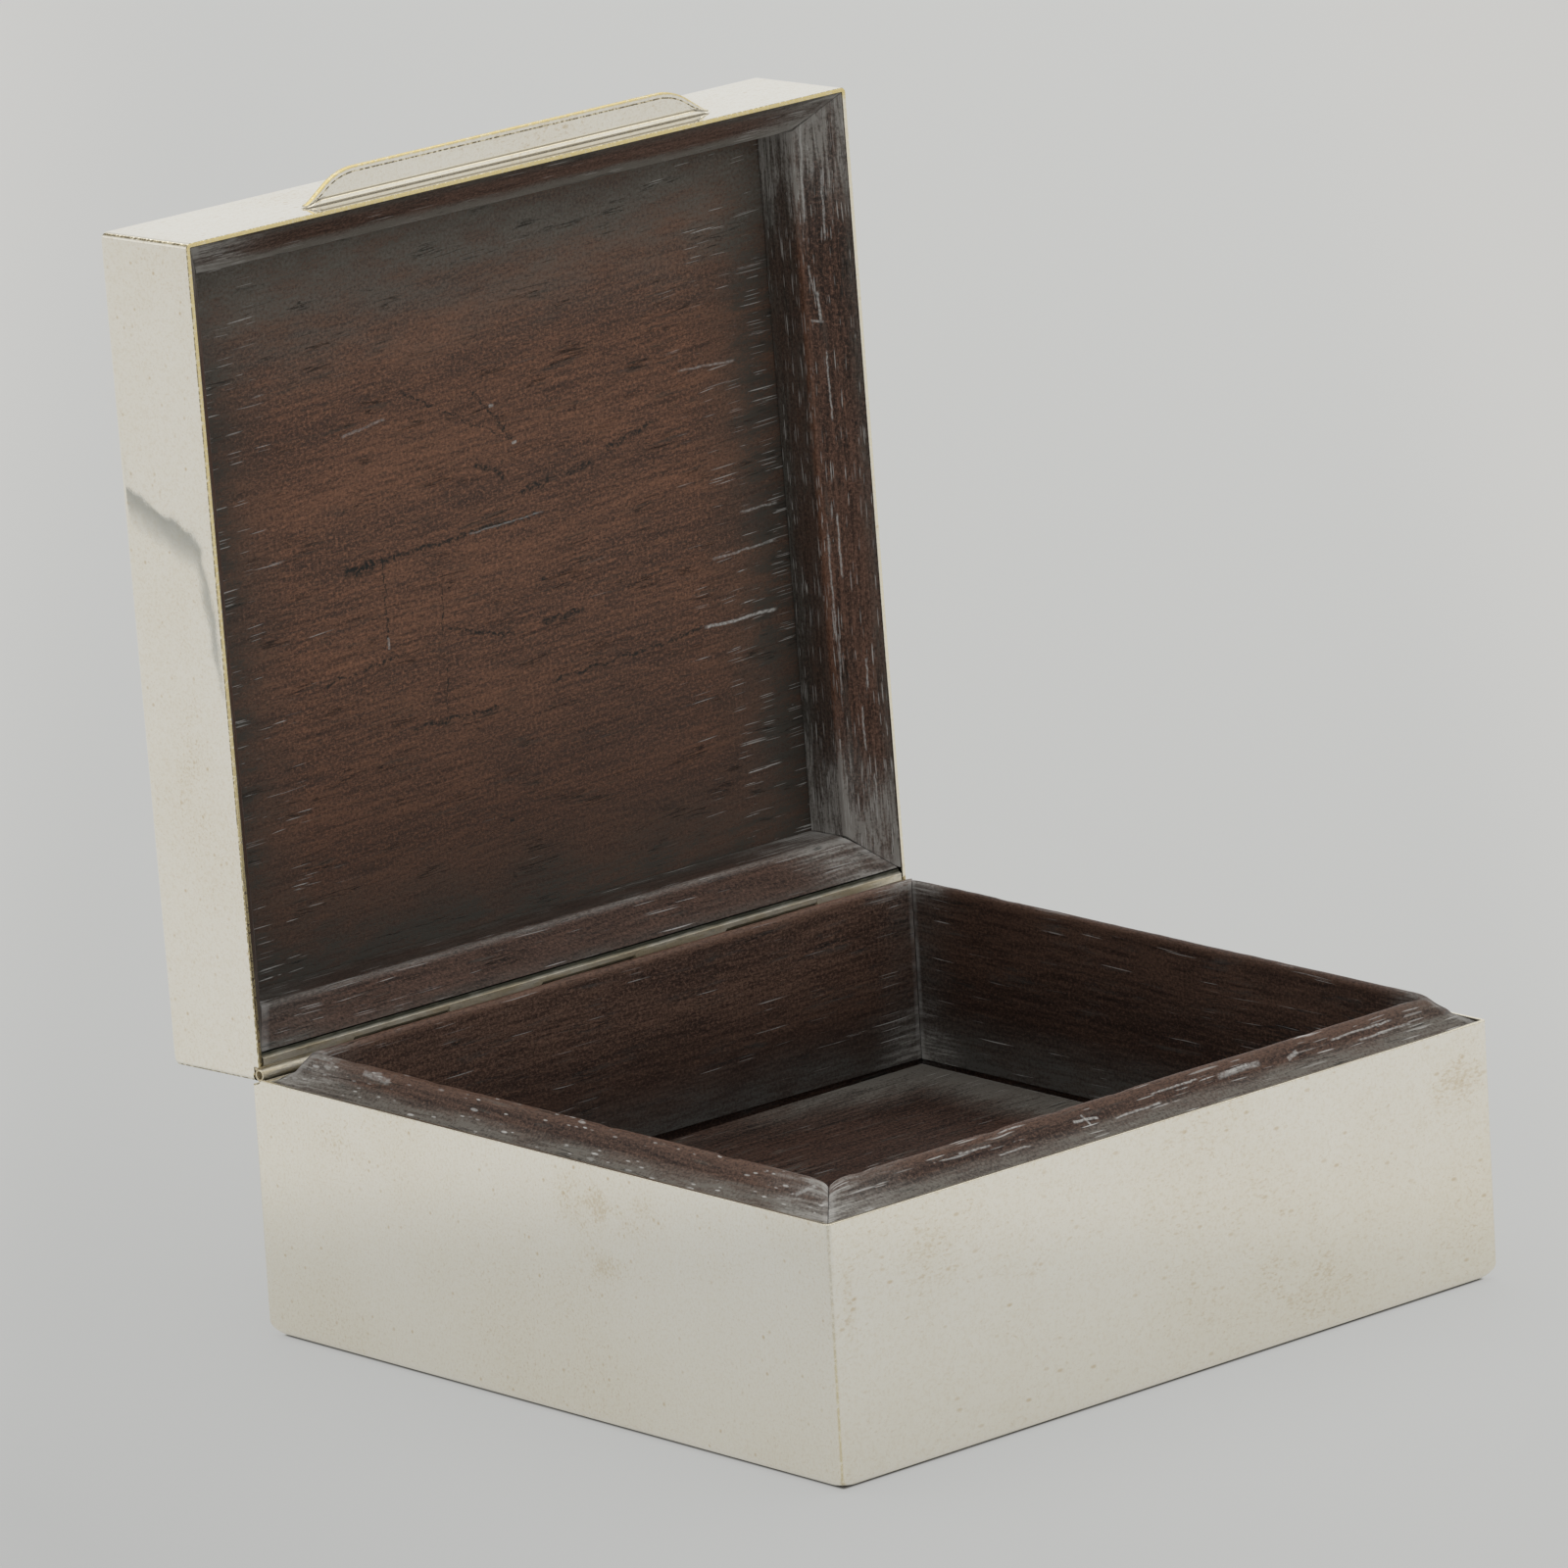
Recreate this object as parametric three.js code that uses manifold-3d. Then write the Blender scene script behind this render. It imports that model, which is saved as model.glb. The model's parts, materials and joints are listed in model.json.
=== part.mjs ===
// A silver-cased cigar box with a mitred wood lining and a lid hinged along its back.
// Millimetres, +Z up. The origin is the middle of the underside, X runs along the front
// from left to right, and Y runs from the front to the hinge. The lid stands open.

import * as THREE from 'three';
import { mergeVertices } from 'three/addons/utils/BufferGeometryUtils.js';
import Module from 'manifold-3d';

const wasm = await Module();
wasm.setup();

// Overall sizes
const boxWidth = 160;
const boxDepth = 153.5;
const baseHeight = 48.3;
const lidHeight = 25;
const lidSideInset = 0.9;
const lidOpenAngle = 91.7;
const closingGap = 0.3;

// Silver sheet and its edges
const sheetThickness = 0.8;
const uprightEdgeRadius = 1;
const leastCornerRadius = 0.2;
const footEdgeRadius = 2.5;
const footCornerRadius = 3.5;
const footFlangeWidth = 8;
const lidTopEdgeRadius = 1.6;
const lidTopCornerRadius = 2.2;

// Underside
const padProud = 0.3;
const padGap = 0.3;

// Wood lining of the base
const woodGap = 0.3;
const mitreGap = 0.3;
const linerThickness = 7;
const linerHingeSetIn = 2.9;
const bottomBoardThickness = 12;
const floorThickness = 5.2;
const floorGap = 0.8;
const floorEdgeChamfer = 0.4;
const lipHeight = 4.9;
const lipRidgeRadius = 0.9;
const lipShoulderRun = 3.3;
const lipShoulderHeight = 1.5;
const lipFootDrop = 0.4;

// Wood lining of the lid
const lidFrameThickness = 6.6;
const lidFrameHingeSetIn = 4.1;
const lidFrameDepth = 16.8;
const lidBevelDepth = 7.3;
const lidRimRecess = 0.2;
const lidArrisRadius = 0.8;

// Hinge
const knuckleCount = 7;
const knuckleRadius = 1.15;
const knuckleBoreRadius = 0.75;
const knuckleGap = 0.25;
const pinRadius = 0.5;
const pinRecess = 1.6;
const axisInset = 1.3;
const axisAboveRim = 0.5;
const hingeClearance = 0.3;
const solderGap = 0.15;
const bearerWidth = 2.3;
const bearerHeight = 4;

// Thumb piece on the front of the lid
const thumbLength = 96.7;
const thumbOffset = 1.8;
const thumbReach = 5.5;
const thumbEndRun = 8;
const thumbShoulderRun = 4;
const thumbThickness = 1.1;
const thumbEdgeRounding = 0.25;
const thumbHeightAboveRim = 6.1;
const thumbRootReach = 0.8;
const thumbRootThickness = 1.9;
const thumbRootSetback = 1.2;

// Fineness of the round forms
const cornerSteps = 4;
const edgeSteps = 4;
const ridgeSteps = 4;
const tubeSteps = 16;
const endCurveSteps = 8;

// Places that follow from the sizes
const lidRim = baseHeight + closingGap;
const lidTop = lidRim + lidHeight;
const lidWidth = boxWidth - 2 * lidSideInset;
const woodInset = sheetThickness + woodGap;
const linerInset = woodInset + linerThickness;
const boardBottom = padProud + sheetThickness;
const boardTop = boardBottom + bottomBoardThickness;
const floorTop = boardTop + floorThickness;
const hingeY = boxDepth / 2 - axisInset;
const hingeZ = baseHeight + axisAboveRim;
const tubeClearRadius = knuckleRadius + hingeClearance;
const bearerInnerInset = axisInset + tubeClearRadius + bearerWidth;
const beyond = 10;

// Finishes
const finishes = {
  silver: { color: 0xe6e2d8, roughness: 0.22, metalness: 1 },
  tarnishedSilver: { color: 0xb3aa94, roughness: 0.4, metalness: 1 },
  pinMetal: { color: 0x8d8468, roughness: 0.5, metalness: 1 },
  panelWood: { color: 0x4a2b1f, roughness: 0.6, metalness: 0 },
  frameWood: { color: 0x3a241c, roughness: 0.65, metalness: 0 },
  liningWood: { color: 0x33201a, roughness: 0.65, metalness: 0 },
  boardWood: { color: 0x5c4030, roughness: 0.75, metalness: 0 },
  baize: { color: 0x24392c, roughness: 0.95, metalness: 0 },
};

function namedMesh(name, geometry, finish) {
  const material = new THREE.MeshStandardMaterial({ ...finish, flatShading: true });
  const mesh = new THREE.Mesh(geometry, material);
  mesh.name = name;
  return mesh;
}

function geometryFrom(points, triangles) {
  const geometry = new THREE.BufferGeometry();
  geometry.setAttribute('position', new THREE.Float32BufferAttribute(points.flat(), 3));
  geometry.setIndex(triangles.flat());
  return geometry;
}

// Joining and cutting of closed meshes

function toSolid(geometry) {
  const bare = geometry.clone();
  bare.deleteAttribute('normal');
  bare.deleteAttribute('uv');
  const merged = mergeVertices(bare);
  const vertProperties = new Float32Array(merged.attributes.position.array);
  const triVerts = new Uint32Array(merged.index.array);
  return new wasm.Manifold(new wasm.Mesh({ numProp: 3, vertProperties, triVerts }));
}

function fromSolid(solid) {
  const mesh = solid.getMesh();
  const geometry = new THREE.BufferGeometry();
  geometry.setAttribute('position', new THREE.BufferAttribute(mesh.vertProperties, 3));
  geometry.setIndex(new THREE.BufferAttribute(mesh.triVerts, 1));
  return geometry;
}

function cut(geometry, tool) {
  return fromSolid(toSolid(geometry).subtract(toSolid(tool)));
}

function join(geometry, other) {
  return fromSolid(toSolid(geometry).add(toSolid(other)));
}

function keepWithin(geometry, bounds) {
  return fromSolid(toSolid(geometry).intersect(toSolid(bounds)));
}

// Shells and boards made of rounded rectangular rings

function innerCornerRadius(radius) {
  return Math.max(radius - sheetThickness, leastCornerRadius);
}

// One ring, counterclockwise from above, set in from the outside of the box by inset, and
// by more than that at its two sides or its back.
function roundedRing({ inset, z, radius }, { side = 0, back = 0 }) {
  const right = boxWidth / 2 - inset - side;
  const rear = boxDepth / 2 - inset - back;
  const front = inset - boxDepth / 2;
  const centres = [
    [right - radius, rear - radius],
    [radius - right, rear - radius],
    [radius - right, front + radius],
    [right - radius, front + radius],
  ];
  const ring = [];
  centres.forEach(([centreX, centreY], quarter) => {
    for (let step = 0; step <= cornerSteps; step++) {
      const angle = (quarter + step / cornerSteps) * Math.PI / 2;
      ring.push([centreX + radius * Math.cos(angle), centreY + radius * Math.sin(angle), z]);
    }
  });
  return ring;
}

function bandTriangles(lower, upper, count) {
  const triangles = [];
  for (let j = 0; j < count; j++) {
    const next = (j + 1) % count;
    triangles.push([lower + j, lower + next, upper + next]);
    triangles.push([lower + j, upper + next, upper + j]);
  }
  return triangles;
}

// Rings follow the surface upwards on the outside. A closed loft is a frame with a way
// through it, and an open one is capped at its first and last rings.
function loftRings(ringSpecs, { closed, ...setIn }) {
  const rings = ringSpecs.map((spec) => roundedRing(spec, setIn));
  const count = rings[0].length;
  const points = rings.flat();
  const triangles = [];
  for (let i = 0; i + 1 < rings.length; i++) {
    triangles.push(...bandTriangles(i * count, (i + 1) * count, count));
  }
  const last = (rings.length - 1) * count;
  if (closed) {
    triangles.push(...bandTriangles(last, 0, count));
  } else {
    const firstCentre = points.length;
    const lastCentre = firstCentre + 1;
    points.push([0, 0, ringSpecs[0].z], [0, 0, ringSpecs[ringSpecs.length - 1].z]);
    for (let j = 0; j < count; j++) {
      const next = (j + 1) % count;
      triangles.push([firstCentre, next, j]);
      triangles.push([lastCentre, last + j, last + next]);
    }
  }
  return geometryFrom(points, triangles);
}

// Rings round a quarter turn from the foot of the box to its side.
function footRings(radius, outerRadius, fromFoot) {
  const rings = [];
  for (let step = 0; step <= edgeSteps; step++) {
    const share = fromFoot ? step / edgeSteps : 1 - step / edgeSteps;
    const angle = share * Math.PI / 2;
    rings.push({
      inset: footEdgeRadius - radius * Math.sin(angle),
      z: padProud + footEdgeRadius - radius * Math.cos(angle),
      radius: THREE.MathUtils.lerp(footCornerRadius, outerRadius, share),
    });
  }
  return rings;
}

// Rings round a quarter turn from the side of the lid to its top.
function lidTopRings(radius, outerRadius, fromSide) {
  const rings = [];
  for (let step = 0; step <= edgeSteps; step++) {
    const share = fromSide ? step / edgeSteps : 1 - step / edgeSteps;
    const angle = share * Math.PI / 2;
    rings.push({
      inset: lidTopEdgeRadius - radius * Math.cos(angle),
      z: lidTop - lidTopEdgeRadius + radius * Math.sin(angle),
      radius: THREE.MathUtils.lerp(outerRadius, lidTopCornerRadius, share),
    });
  }
  return rings;
}

// Boards and bars along X

// The shape lies in the YZ plane, given as Y across and Z up.
function extrudeAlongX(shape, length, curveSegments) {
  const geometry = new THREE.ExtrudeGeometry(shape, { depth: length, bevelEnabled: false, curveSegments });
  geometry.translate(0, 0, -length / 2);
  const toYZ = new THREE.Matrix4().makeBasis(
    new THREE.Vector3(0, 1, 0),
    new THREE.Vector3(0, 0, 1),
    new THREE.Vector3(1, 0, 0),
  );
  return geometry.applyMatrix4(toYZ);
}

function shapeThrough(points) {
  return new THREE.Shape(points.map(([across, up]) => new THREE.Vector2(across, up)));
}

function box(low, high) {
  const size = high.map((value, axis) => value - low[axis]);
  const centre = high.map((value, axis) => (value + low[axis]) / 2);
  return new THREE.BoxGeometry(...size).translate(...centre);
}

// The outline is counterclockwise pairs of inset from the lining's edge and height.
// The ends are cut at 45 degrees, so each point's run shortens by its own inset.
function mitredBoard(outline, sideLength) {
  const halfRun = sideLength / 2 - mitreGap / Math.SQRT2;
  const count = outline.length;
  const left = outline.map(([inset, z]) => [inset - halfRun, inset, z]);
  const right = outline.map(([inset, z]) => [halfRun - inset, inset, z]);
  const contour = outline.map(([inset, z]) => new THREE.Vector2(inset, z));
  const triangles = [];
  for (const [a, b, c] of THREE.ShapeUtils.triangulateShape(contour, [])) {
    triangles.push([count + a, count + b, count + c]);
    triangles.push([c, b, a]);
  }
  for (let i = 0; i < count; i++) {
    const next = (i + 1) % count;
    triangles.push([i, count + next, count + i]);
    triangles.push([i, next, count + next]);
  }
  return geometryFrom([...left, ...right], triangles);
}

// The four boards of a lining. Its edge follows the case, apart from the back, where it
// stands in by backSetIn to clear the hinge and the board itself reaches back to the silver.
function liningSides(width, backSetIn) {
  const depth = boxDepth - backSetIn;
  const middle = -backSetIn / 2;
  const rear = boxDepth / 2 - backSetIn;
  const right = width / 2;
  return [
    { name: 'front', turn: 0, length: width, place: [0, -boxDepth / 2, 0] },
    { name: 'right', turn: Math.PI / 2, length: depth, place: [right, middle, 0] },
    { name: 'back', turn: Math.PI, length: width, place: [0, rear, 0], setIn: backSetIn },
    { name: 'left', turn: -Math.PI / 2, length: depth, place: [-right, middle, 0] },
  ];
}

const linerSides = liningSides(boxWidth, linerHingeSetIn);
const lidFrameSides = liningSides(lidWidth, lidFrameHingeSetIn);

function placeBoard(board, side) {
  return board.rotateZ(side.turn).translate(...side.place);
}

// The back board's ends stop square at the silver where they would run past it.
function makeBackBoard(outline, side) {
  const board = placeBoard(mitredBoard(outline, side.length), side);
  const reach = side.length / 2 - woodInset;
  return keepWithin(board, box([-reach, 0, 0], [reach, boxDepth, lidTop]));
}

// Base

function makeBaseCase() {
  const wallRadius = innerCornerRadius(uprightEdgeRadius);
  const shell = loftRings([
    { inset: footFlangeWidth, z: padProud, radius: footCornerRadius },
    ...footRings(footEdgeRadius, uprightEdgeRadius, true),
    { inset: 0, z: baseHeight, radius: uprightEdgeRadius },
    { inset: sheetThickness, z: baseHeight, radius: wallRadius },
    ...footRings(footEdgeRadius - sheetThickness, wallRadius, false),
    { inset: footFlangeWidth, z: boardBottom, radius: footCornerRadius },
  ], { closed: true });
  return cut(shell, baseHingeChannel());
}

// Room for the knuckles to turn in, open to the top and to the back.
function baseHingeChannel() {
  const wallTop = -(axisInset + hingeClearance);
  const shape = new THREE.Shape();
  shape.moveTo(-tubeClearRadius, beyond);
  shape.lineTo(-tubeClearRadius, 0);
  shape.absarc(0, 0, tubeClearRadius, Math.PI, 1.5 * Math.PI, false);
  shape.lineTo(0, wallTop);
  shape.lineTo(axisInset + beyond, wallTop);
  shape.lineTo(axisInset + beyond, beyond);
  return extrudeAlongX(shape, boxWidth + beyond, edgeSteps).translate(0, hingeY, hingeZ);
}

function makeBottomBoard() {
  const radius = innerCornerRadius(uprightEdgeRadius);
  return loftRings([
    { inset: footEdgeRadius, z: boardBottom, radius: footCornerRadius },
    { inset: woodInset, z: padProud + footEdgeRadius, radius },
    { inset: woodInset, z: boardTop, radius },
  ], { closed: false });
}

function makeBaizePad() {
  const inset = footFlangeWidth + padGap;
  return loftRings([
    { inset, z: 0, radius: footCornerRadius },
    { inset, z: boardBottom, radius: footCornerRadius },
  ], { closed: false });
}

function makeFloorPanel() {
  const inset = linerInset + floorGap;
  const radius = leastCornerRadius;
  return loftRings([
    { inset, z: boardTop, radius },
    { inset, z: floorTop - floorEdgeChamfer, radius },
    { inset: inset + floorEdgeChamfer, z: floorTop, radius },
  ], { closed: false, back: linerHingeSetIn });
}

// The lip rises from below the silver rim to a shoulder, then more steeply to a round ridge.
function linerOutline(setIn) {
  const shoulder = [woodInset + lipShoulderRun, baseHeight + lipShoulderHeight];
  const centre = [linerInset - lipRidgeRadius, baseHeight + lipHeight - lipRidgeRadius];
  const run = centre[0] - shoulder[0];
  const rise = centre[1] - shoulder[1];
  const tangent = Math.atan2(rise, run) + Math.asin(lipRidgeRadius / Math.hypot(run, rise));
  const lastAngle = tangent + Math.PI / 2;
  const outline = [[woodInset - setIn, boardTop], [linerInset, boardTop]];
  for (let step = 0; step <= ridgeSteps; step++) {
    const angle = lastAngle * step / ridgeSteps;
    outline.push([
      centre[0] + lipRidgeRadius * Math.cos(angle),
      centre[1] + lipRidgeRadius * Math.sin(angle),
    ]);
  }
  outline.push(shoulder, [woodInset, baseHeight - lipFootDrop]);
  if (setIn > 0) {
    outline.push([woodInset - setIn, baseHeight - lipFootDrop]);
  }
  return outline;
}

function makeLiner(side) {
  const outline = linerOutline(side.setIn ?? 0);
  if (side.name === 'front') {
    return placeBoard(mitredBoard(outline, side.length), side);
  }
  if (side.name === 'back') {
    return cut(makeBackBoard(outline, side), baseBearerSlot());
  }
  return cut(placeBoard(mitredBoard(outline, side.length), side), baseBearerSlot());
}

function baseBearerSlot() {
  const front = boxDepth / 2 - bearerInnerInset - woodGap;
  const floor = baseHeight - bearerHeight - woodGap;
  const top = baseHeight + lipHeight + beyond;
  return box([-boxWidth / 2, front, floor], [boxWidth / 2, boxDepth / 2, top]);
}

function makeBaseBearer() {
  const back = hingeY - tubeClearRadius;
  const reach = boxWidth / 2 - woodInset;
  return box(
    [-reach, back - bearerWidth, baseHeight - bearerHeight],
    [reach, back, baseHeight],
  );
}

// Lid, drawn closed

function makeLidCase() {
  const wallRadius = innerCornerRadius(uprightEdgeRadius);
  const shell = loftRings([
    ...lidTopRings(lidTopEdgeRadius - sheetThickness, wallRadius, false),
    { inset: sheetThickness, z: lidRim, radius: wallRadius },
    { inset: 0, z: lidRim, radius: uprightEdgeRadius },
    ...lidTopRings(lidTopEdgeRadius, uprightEdgeRadius, true),
  ], { closed: false, side: lidSideInset });
  return cut(shell, lidHingeChannel());
}

// Room for the knuckles and their webs, open to the rim and to the back.
function lidHingeChannel() {
  const back = axisInset + beyond;
  const shape = shapeThrough([
    [-tubeClearRadius, -beyond],
    [back, -beyond],
    [back, axisInset + hingeClearance],
    [0, axisInset + hingeClearance],
    [0, knuckleRadius + solderGap],
    [-tubeClearRadius, knuckleRadius + solderGap],
  ]);
  return extrudeAlongX(shape, boxWidth + beyond, 1).translate(0, hingeY, hingeZ);
}

function makeLidPanel() {
  const radius = innerCornerRadius(uprightEdgeRadius);
  return loftRings([
    { inset: woodInset, z: lidRim + lidFrameDepth + woodGap, radius },
    { inset: woodInset, z: lidTop - lidTopEdgeRadius, radius },
    { inset: lidTopEdgeRadius, z: lidTop - sheetThickness - woodGap, radius: lidTopCornerRadius },
  ], { closed: false, side: lidSideInset });
}

// A bevel runs in from the rim to a softened arris, and a flat wall runs on to the panel.
function lidFrameOutline(setIn) {
  const inner = woodInset + lidFrameThickness;
  const rim = lidRim + lidRimRecess;
  const arris = lidRim + lidBevelDepth;
  const slope = Math.hypot(lidFrameThickness, arris - rim);
  const alongInset = lidFrameThickness / slope;
  const alongHeight = (arris - rim) / slope;
  const outline = [
    [woodInset, rim],
    [inner - lidArrisRadius * alongInset, arris - lidArrisRadius * alongHeight],
    [inner, arris + lidArrisRadius],
    [inner, lidRim + lidFrameDepth],
    [woodInset - setIn, lidRim + lidFrameDepth],
  ];
  if (setIn > 0) {
    outline.push([woodInset - setIn, rim]);
  }
  return outline;
}

function makeLidFrame(side) {
  const outline = lidFrameOutline(side.setIn ?? 0);
  if (side.name === 'front') {
    return placeBoard(mitredBoard(outline, side.length), side);
  }
  if (side.name === 'back') {
    return cut(makeBackBoard(outline, side), lidBearerSlot());
  }
  return cut(placeBoard(mitredBoard(outline, side.length), side), lidBearerSlot());
}

function lidBearerSlot() {
  const front = boxDepth / 2 - bearerInnerInset - woodGap;
  const top = lidRim + bearerHeight + woodGap;
  return box([-boxWidth / 2, front, lidRim - beyond], [boxWidth / 2, boxDepth / 2, top]);
}

function makeLidBearer() {
  const back = hingeY - tubeClearRadius;
  const reach = lidWidth / 2 - woodInset;
  return box(
    [-reach, back - bearerWidth, lidRim],
    [reach, back, lidRim + bearerHeight],
  );
}

// The ends slant in from the lid and round over into the long edge.
function thumbOutline() {
  const half = thumbLength / 2;
  const shoulder = half - thumbEndRun;
  const share = thumbShoulderRun / Math.hypot(thumbEndRun, thumbReach);
  const slantX = shoulder + share * thumbEndRun;
  const slantY = thumbReach * (1 - share);
  const edgeX = shoulder - thumbShoulderRun;
  const shape = new THREE.Shape();
  shape.moveTo(-half, 0);
  shape.lineTo(half, 0);
  shape.lineTo(slantX, slantY);
  shape.quadraticCurveTo(shoulder, thumbReach, edgeX, thumbReach);
  shape.lineTo(-edgeX, thumbReach);
  shape.quadraticCurveTo(-shoulder, thumbReach, -slantX, slantY);
  return shape;
}

// A level tab that stands forward from the lid on a thicker root.
function makeThumbPiece() {
  const plate = new THREE.ExtrudeGeometry(thumbOutline(), {
    depth: thumbThickness - 2 * thumbEdgeRounding,
    bevelEnabled: true,
    bevelThickness: thumbEdgeRounding,
    bevelSize: thumbEdgeRounding,
    bevelOffset: -thumbEdgeRounding,
    bevelSegments: 1,
    curveSegments: endCurveSteps,
  });
  plate.translate(0, 0, thumbEdgeRounding - thumbThickness / 2);
  const rootLength = thumbLength - 2 * thumbRootSetback;
  const root = box(
    [-rootLength / 2, 0, -thumbRootThickness / 2],
    [rootLength / 2, thumbRootReach, thumbRootThickness / 2],
  );
  const front = -boxDepth / 2 - solderGap;
  return join(plate, root).rotateX(Math.PI).translate(thumbOffset, front, lidRim + thumbHeightAboveRim);
}

// Hinge

// A tube with a web towards its bearer, on the lid's side of the axis or the base's.
function knuckleShape(onLid) {
  const webReach = tubeClearRadius - solderGap;
  const shape = new THREE.Shape();
  if (onLid) {
    shape.moveTo(0, knuckleRadius);
    shape.lineTo(-webReach, knuckleRadius);
    shape.lineTo(-webReach, 0);
    shape.lineTo(-knuckleRadius, 0);
    shape.absarc(0, 0, knuckleRadius, Math.PI, 2.5 * Math.PI, false);
  } else {
    shape.moveTo(-knuckleRadius, 0);
    shape.lineTo(-webReach, 0);
    shape.lineTo(-webReach, -knuckleRadius);
    shape.lineTo(0, -knuckleRadius);
    shape.absarc(0, 0, knuckleRadius, -Math.PI / 2, Math.PI, false);
  }
  const bore = new THREE.Path();
  bore.absarc(0, 0, knuckleBoreRadius, 0, 2 * Math.PI, true);
  shape.holes.push(bore);
  return shape;
}

// The row of knuckles is as long as the lid is wide.
function makeKnuckle(index, onLid) {
  const pitch = (lidWidth + knuckleGap) / knuckleCount;
  const x = -lidWidth / 2 + index * pitch + (pitch - knuckleGap) / 2;
  return extrudeAlongX(knuckleShape(onLid), pitch - knuckleGap, tubeSteps).translate(x, hingeY, hingeZ);
}

function makeHingePin() {
  const length = lidWidth - 2 * pinRecess;
  const pin = new THREE.CylinderGeometry(pinRadius, pinRadius, length, tubeSteps);
  return pin.rotateZ(Math.PI / 2).translate(0, hingeY, hingeZ);
}

// Assembly

const base = new THREE.Group();
base.add(namedMesh('base_case', makeBaseCase(), finishes.silver));
base.add(namedMesh('bottom_board', makeBottomBoard(), finishes.boardWood));
base.add(namedMesh('baize_pad', makeBaizePad(), finishes.baize));
base.add(namedMesh('floor_panel', makeFloorPanel(), finishes.liningWood));
for (const side of linerSides) {
  base.add(namedMesh(`liner_${side.name}`, makeLiner(side), finishes.liningWood));
}
base.add(namedMesh('base_hinge_bearer', makeBaseBearer(), finishes.tarnishedSilver));
base.add(namedMesh('hinge_pin', makeHingePin(), finishes.pinMetal));

const closedLid = new THREE.Group();
closedLid.add(namedMesh('lid_case', makeLidCase(), finishes.silver));
closedLid.add(namedMesh('lid_panel', makeLidPanel(), finishes.panelWood));
for (const side of lidFrameSides) {
  closedLid.add(namedMesh(`lid_frame_${side.name}`, makeLidFrame(side), finishes.frameWood));
}
closedLid.add(namedMesh('lid_hinge_bearer', makeLidBearer(), finishes.tarnishedSilver));
closedLid.add(namedMesh('thumb_piece', makeThumbPiece(), finishes.silver));

// The lid carries the outermost knuckles, and the two leaves take turns between them.
for (let index = 0; index < knuckleCount; index++) {
  const onLid = index % 2 === 0;
  const leaf = onLid ? closedLid : base;
  const name = `${onLid ? 'lid' : 'base'}_knuckle_${Math.floor(index / 2) + 1}`;
  leaf.add(namedMesh(name, makeKnuckle(index, onLid), finishes.tarnishedSilver));
}

// The lid turns about the hinge axis.
closedLid.position.set(0, -hingeY, -hingeZ);
const lid = new THREE.Group();
lid.add(closedLid);
lid.position.set(0, hingeY, hingeZ);
lid.rotation.x = -THREE.MathUtils.degToRad(lidOpenAngle);

const cigarBox = new THREE.Group();
cigarBox.name = 'cigar_box';
cigarBox.add(base, lid);

export default cigarBox;
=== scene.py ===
"""Looks of a silver cigar box with a wood lining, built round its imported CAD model."""

import json
import math

import bmesh
import bpy
from bpy.props import FloatProperty, FloatVectorProperty, IntProperty, PointerProperty
from mathutils import Matrix, Quaternion, Vector, noise


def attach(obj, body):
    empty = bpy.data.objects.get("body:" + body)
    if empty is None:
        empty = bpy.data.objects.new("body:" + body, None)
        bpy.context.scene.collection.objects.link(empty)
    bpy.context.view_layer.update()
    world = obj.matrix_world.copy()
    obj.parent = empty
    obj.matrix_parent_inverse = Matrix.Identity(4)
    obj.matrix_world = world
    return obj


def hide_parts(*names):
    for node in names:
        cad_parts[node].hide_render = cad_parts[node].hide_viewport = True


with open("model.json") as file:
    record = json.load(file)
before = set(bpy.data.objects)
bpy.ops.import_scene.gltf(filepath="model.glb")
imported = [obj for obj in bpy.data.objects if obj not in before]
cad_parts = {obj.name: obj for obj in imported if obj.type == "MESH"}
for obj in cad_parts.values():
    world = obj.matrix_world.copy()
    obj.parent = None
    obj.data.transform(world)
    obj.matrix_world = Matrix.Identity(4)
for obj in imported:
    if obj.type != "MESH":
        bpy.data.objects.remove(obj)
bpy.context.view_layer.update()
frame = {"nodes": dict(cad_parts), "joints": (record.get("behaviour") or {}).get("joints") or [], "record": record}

bl_info = {
    "name": "Cigar box",
    "version": (1, 0, 0),
    "blender": (4, 5, 0),
    "location": "3D View > Sidebar > Cigar box",
    "description": "Makes the silver, the wood lining, the hinge and the studio of a cigar box",
    "category": "Object",
}

# Meshes are drawn in millimetres and stored in metres.
MM = 0.001

# The lid is drawn shut and then opened about its hinge.
LID_HINGE = frame["joints"][0]
HINGE_POINT = Vector(LID_HINGE["pos_m"])
OPEN_ANGLE = math.radians(LID_HINGE["range_deg"][1])
OPEN_LID = (
    Matrix.Translation(HINGE_POINT)
    @ Matrix.Rotation(-OPEN_ANGLE, 4, "X")
    @ Matrix.Translation(-HINGE_POINT)
)
SHUT_LID = OPEN_LID.inverted()
HINGE_Y = HINGE_POINT.y / MM
HINGE_Z = HINGE_POINT.z / MM


def size_box(node):
    """Lowest and highest corner of a CAD node in millimetres, a lid node with the lid shut."""
    on_lid = node in frame["record"]["behaviour"]["bodies"]["lid"]
    turn = SHUT_LID if on_lid else Matrix()
    places = [turn @ vertex.co / MM for vertex in frame["nodes"][node].data.vertices]
    low = Vector([min(place[axis] for place in places) for axis in range(3)])
    high = Vector([max(place[axis] for place in places) for axis in range(3)])
    return low, high


# Settings


def length(name, description, millimetres):
    """A length that the user can change, shown in the scene's unit."""
    return FloatProperty(
        name=name,
        description=description,
        default=millimetres * MM,
        min=0,
        precision=5,
        unit="LENGTH",
    )


def colour(name, description, default):
    """A colour that the user can change."""
    return FloatVectorProperty(
        name=name, description=description, default=default, min=0, max=1, subtype="COLOR"
    )


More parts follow.
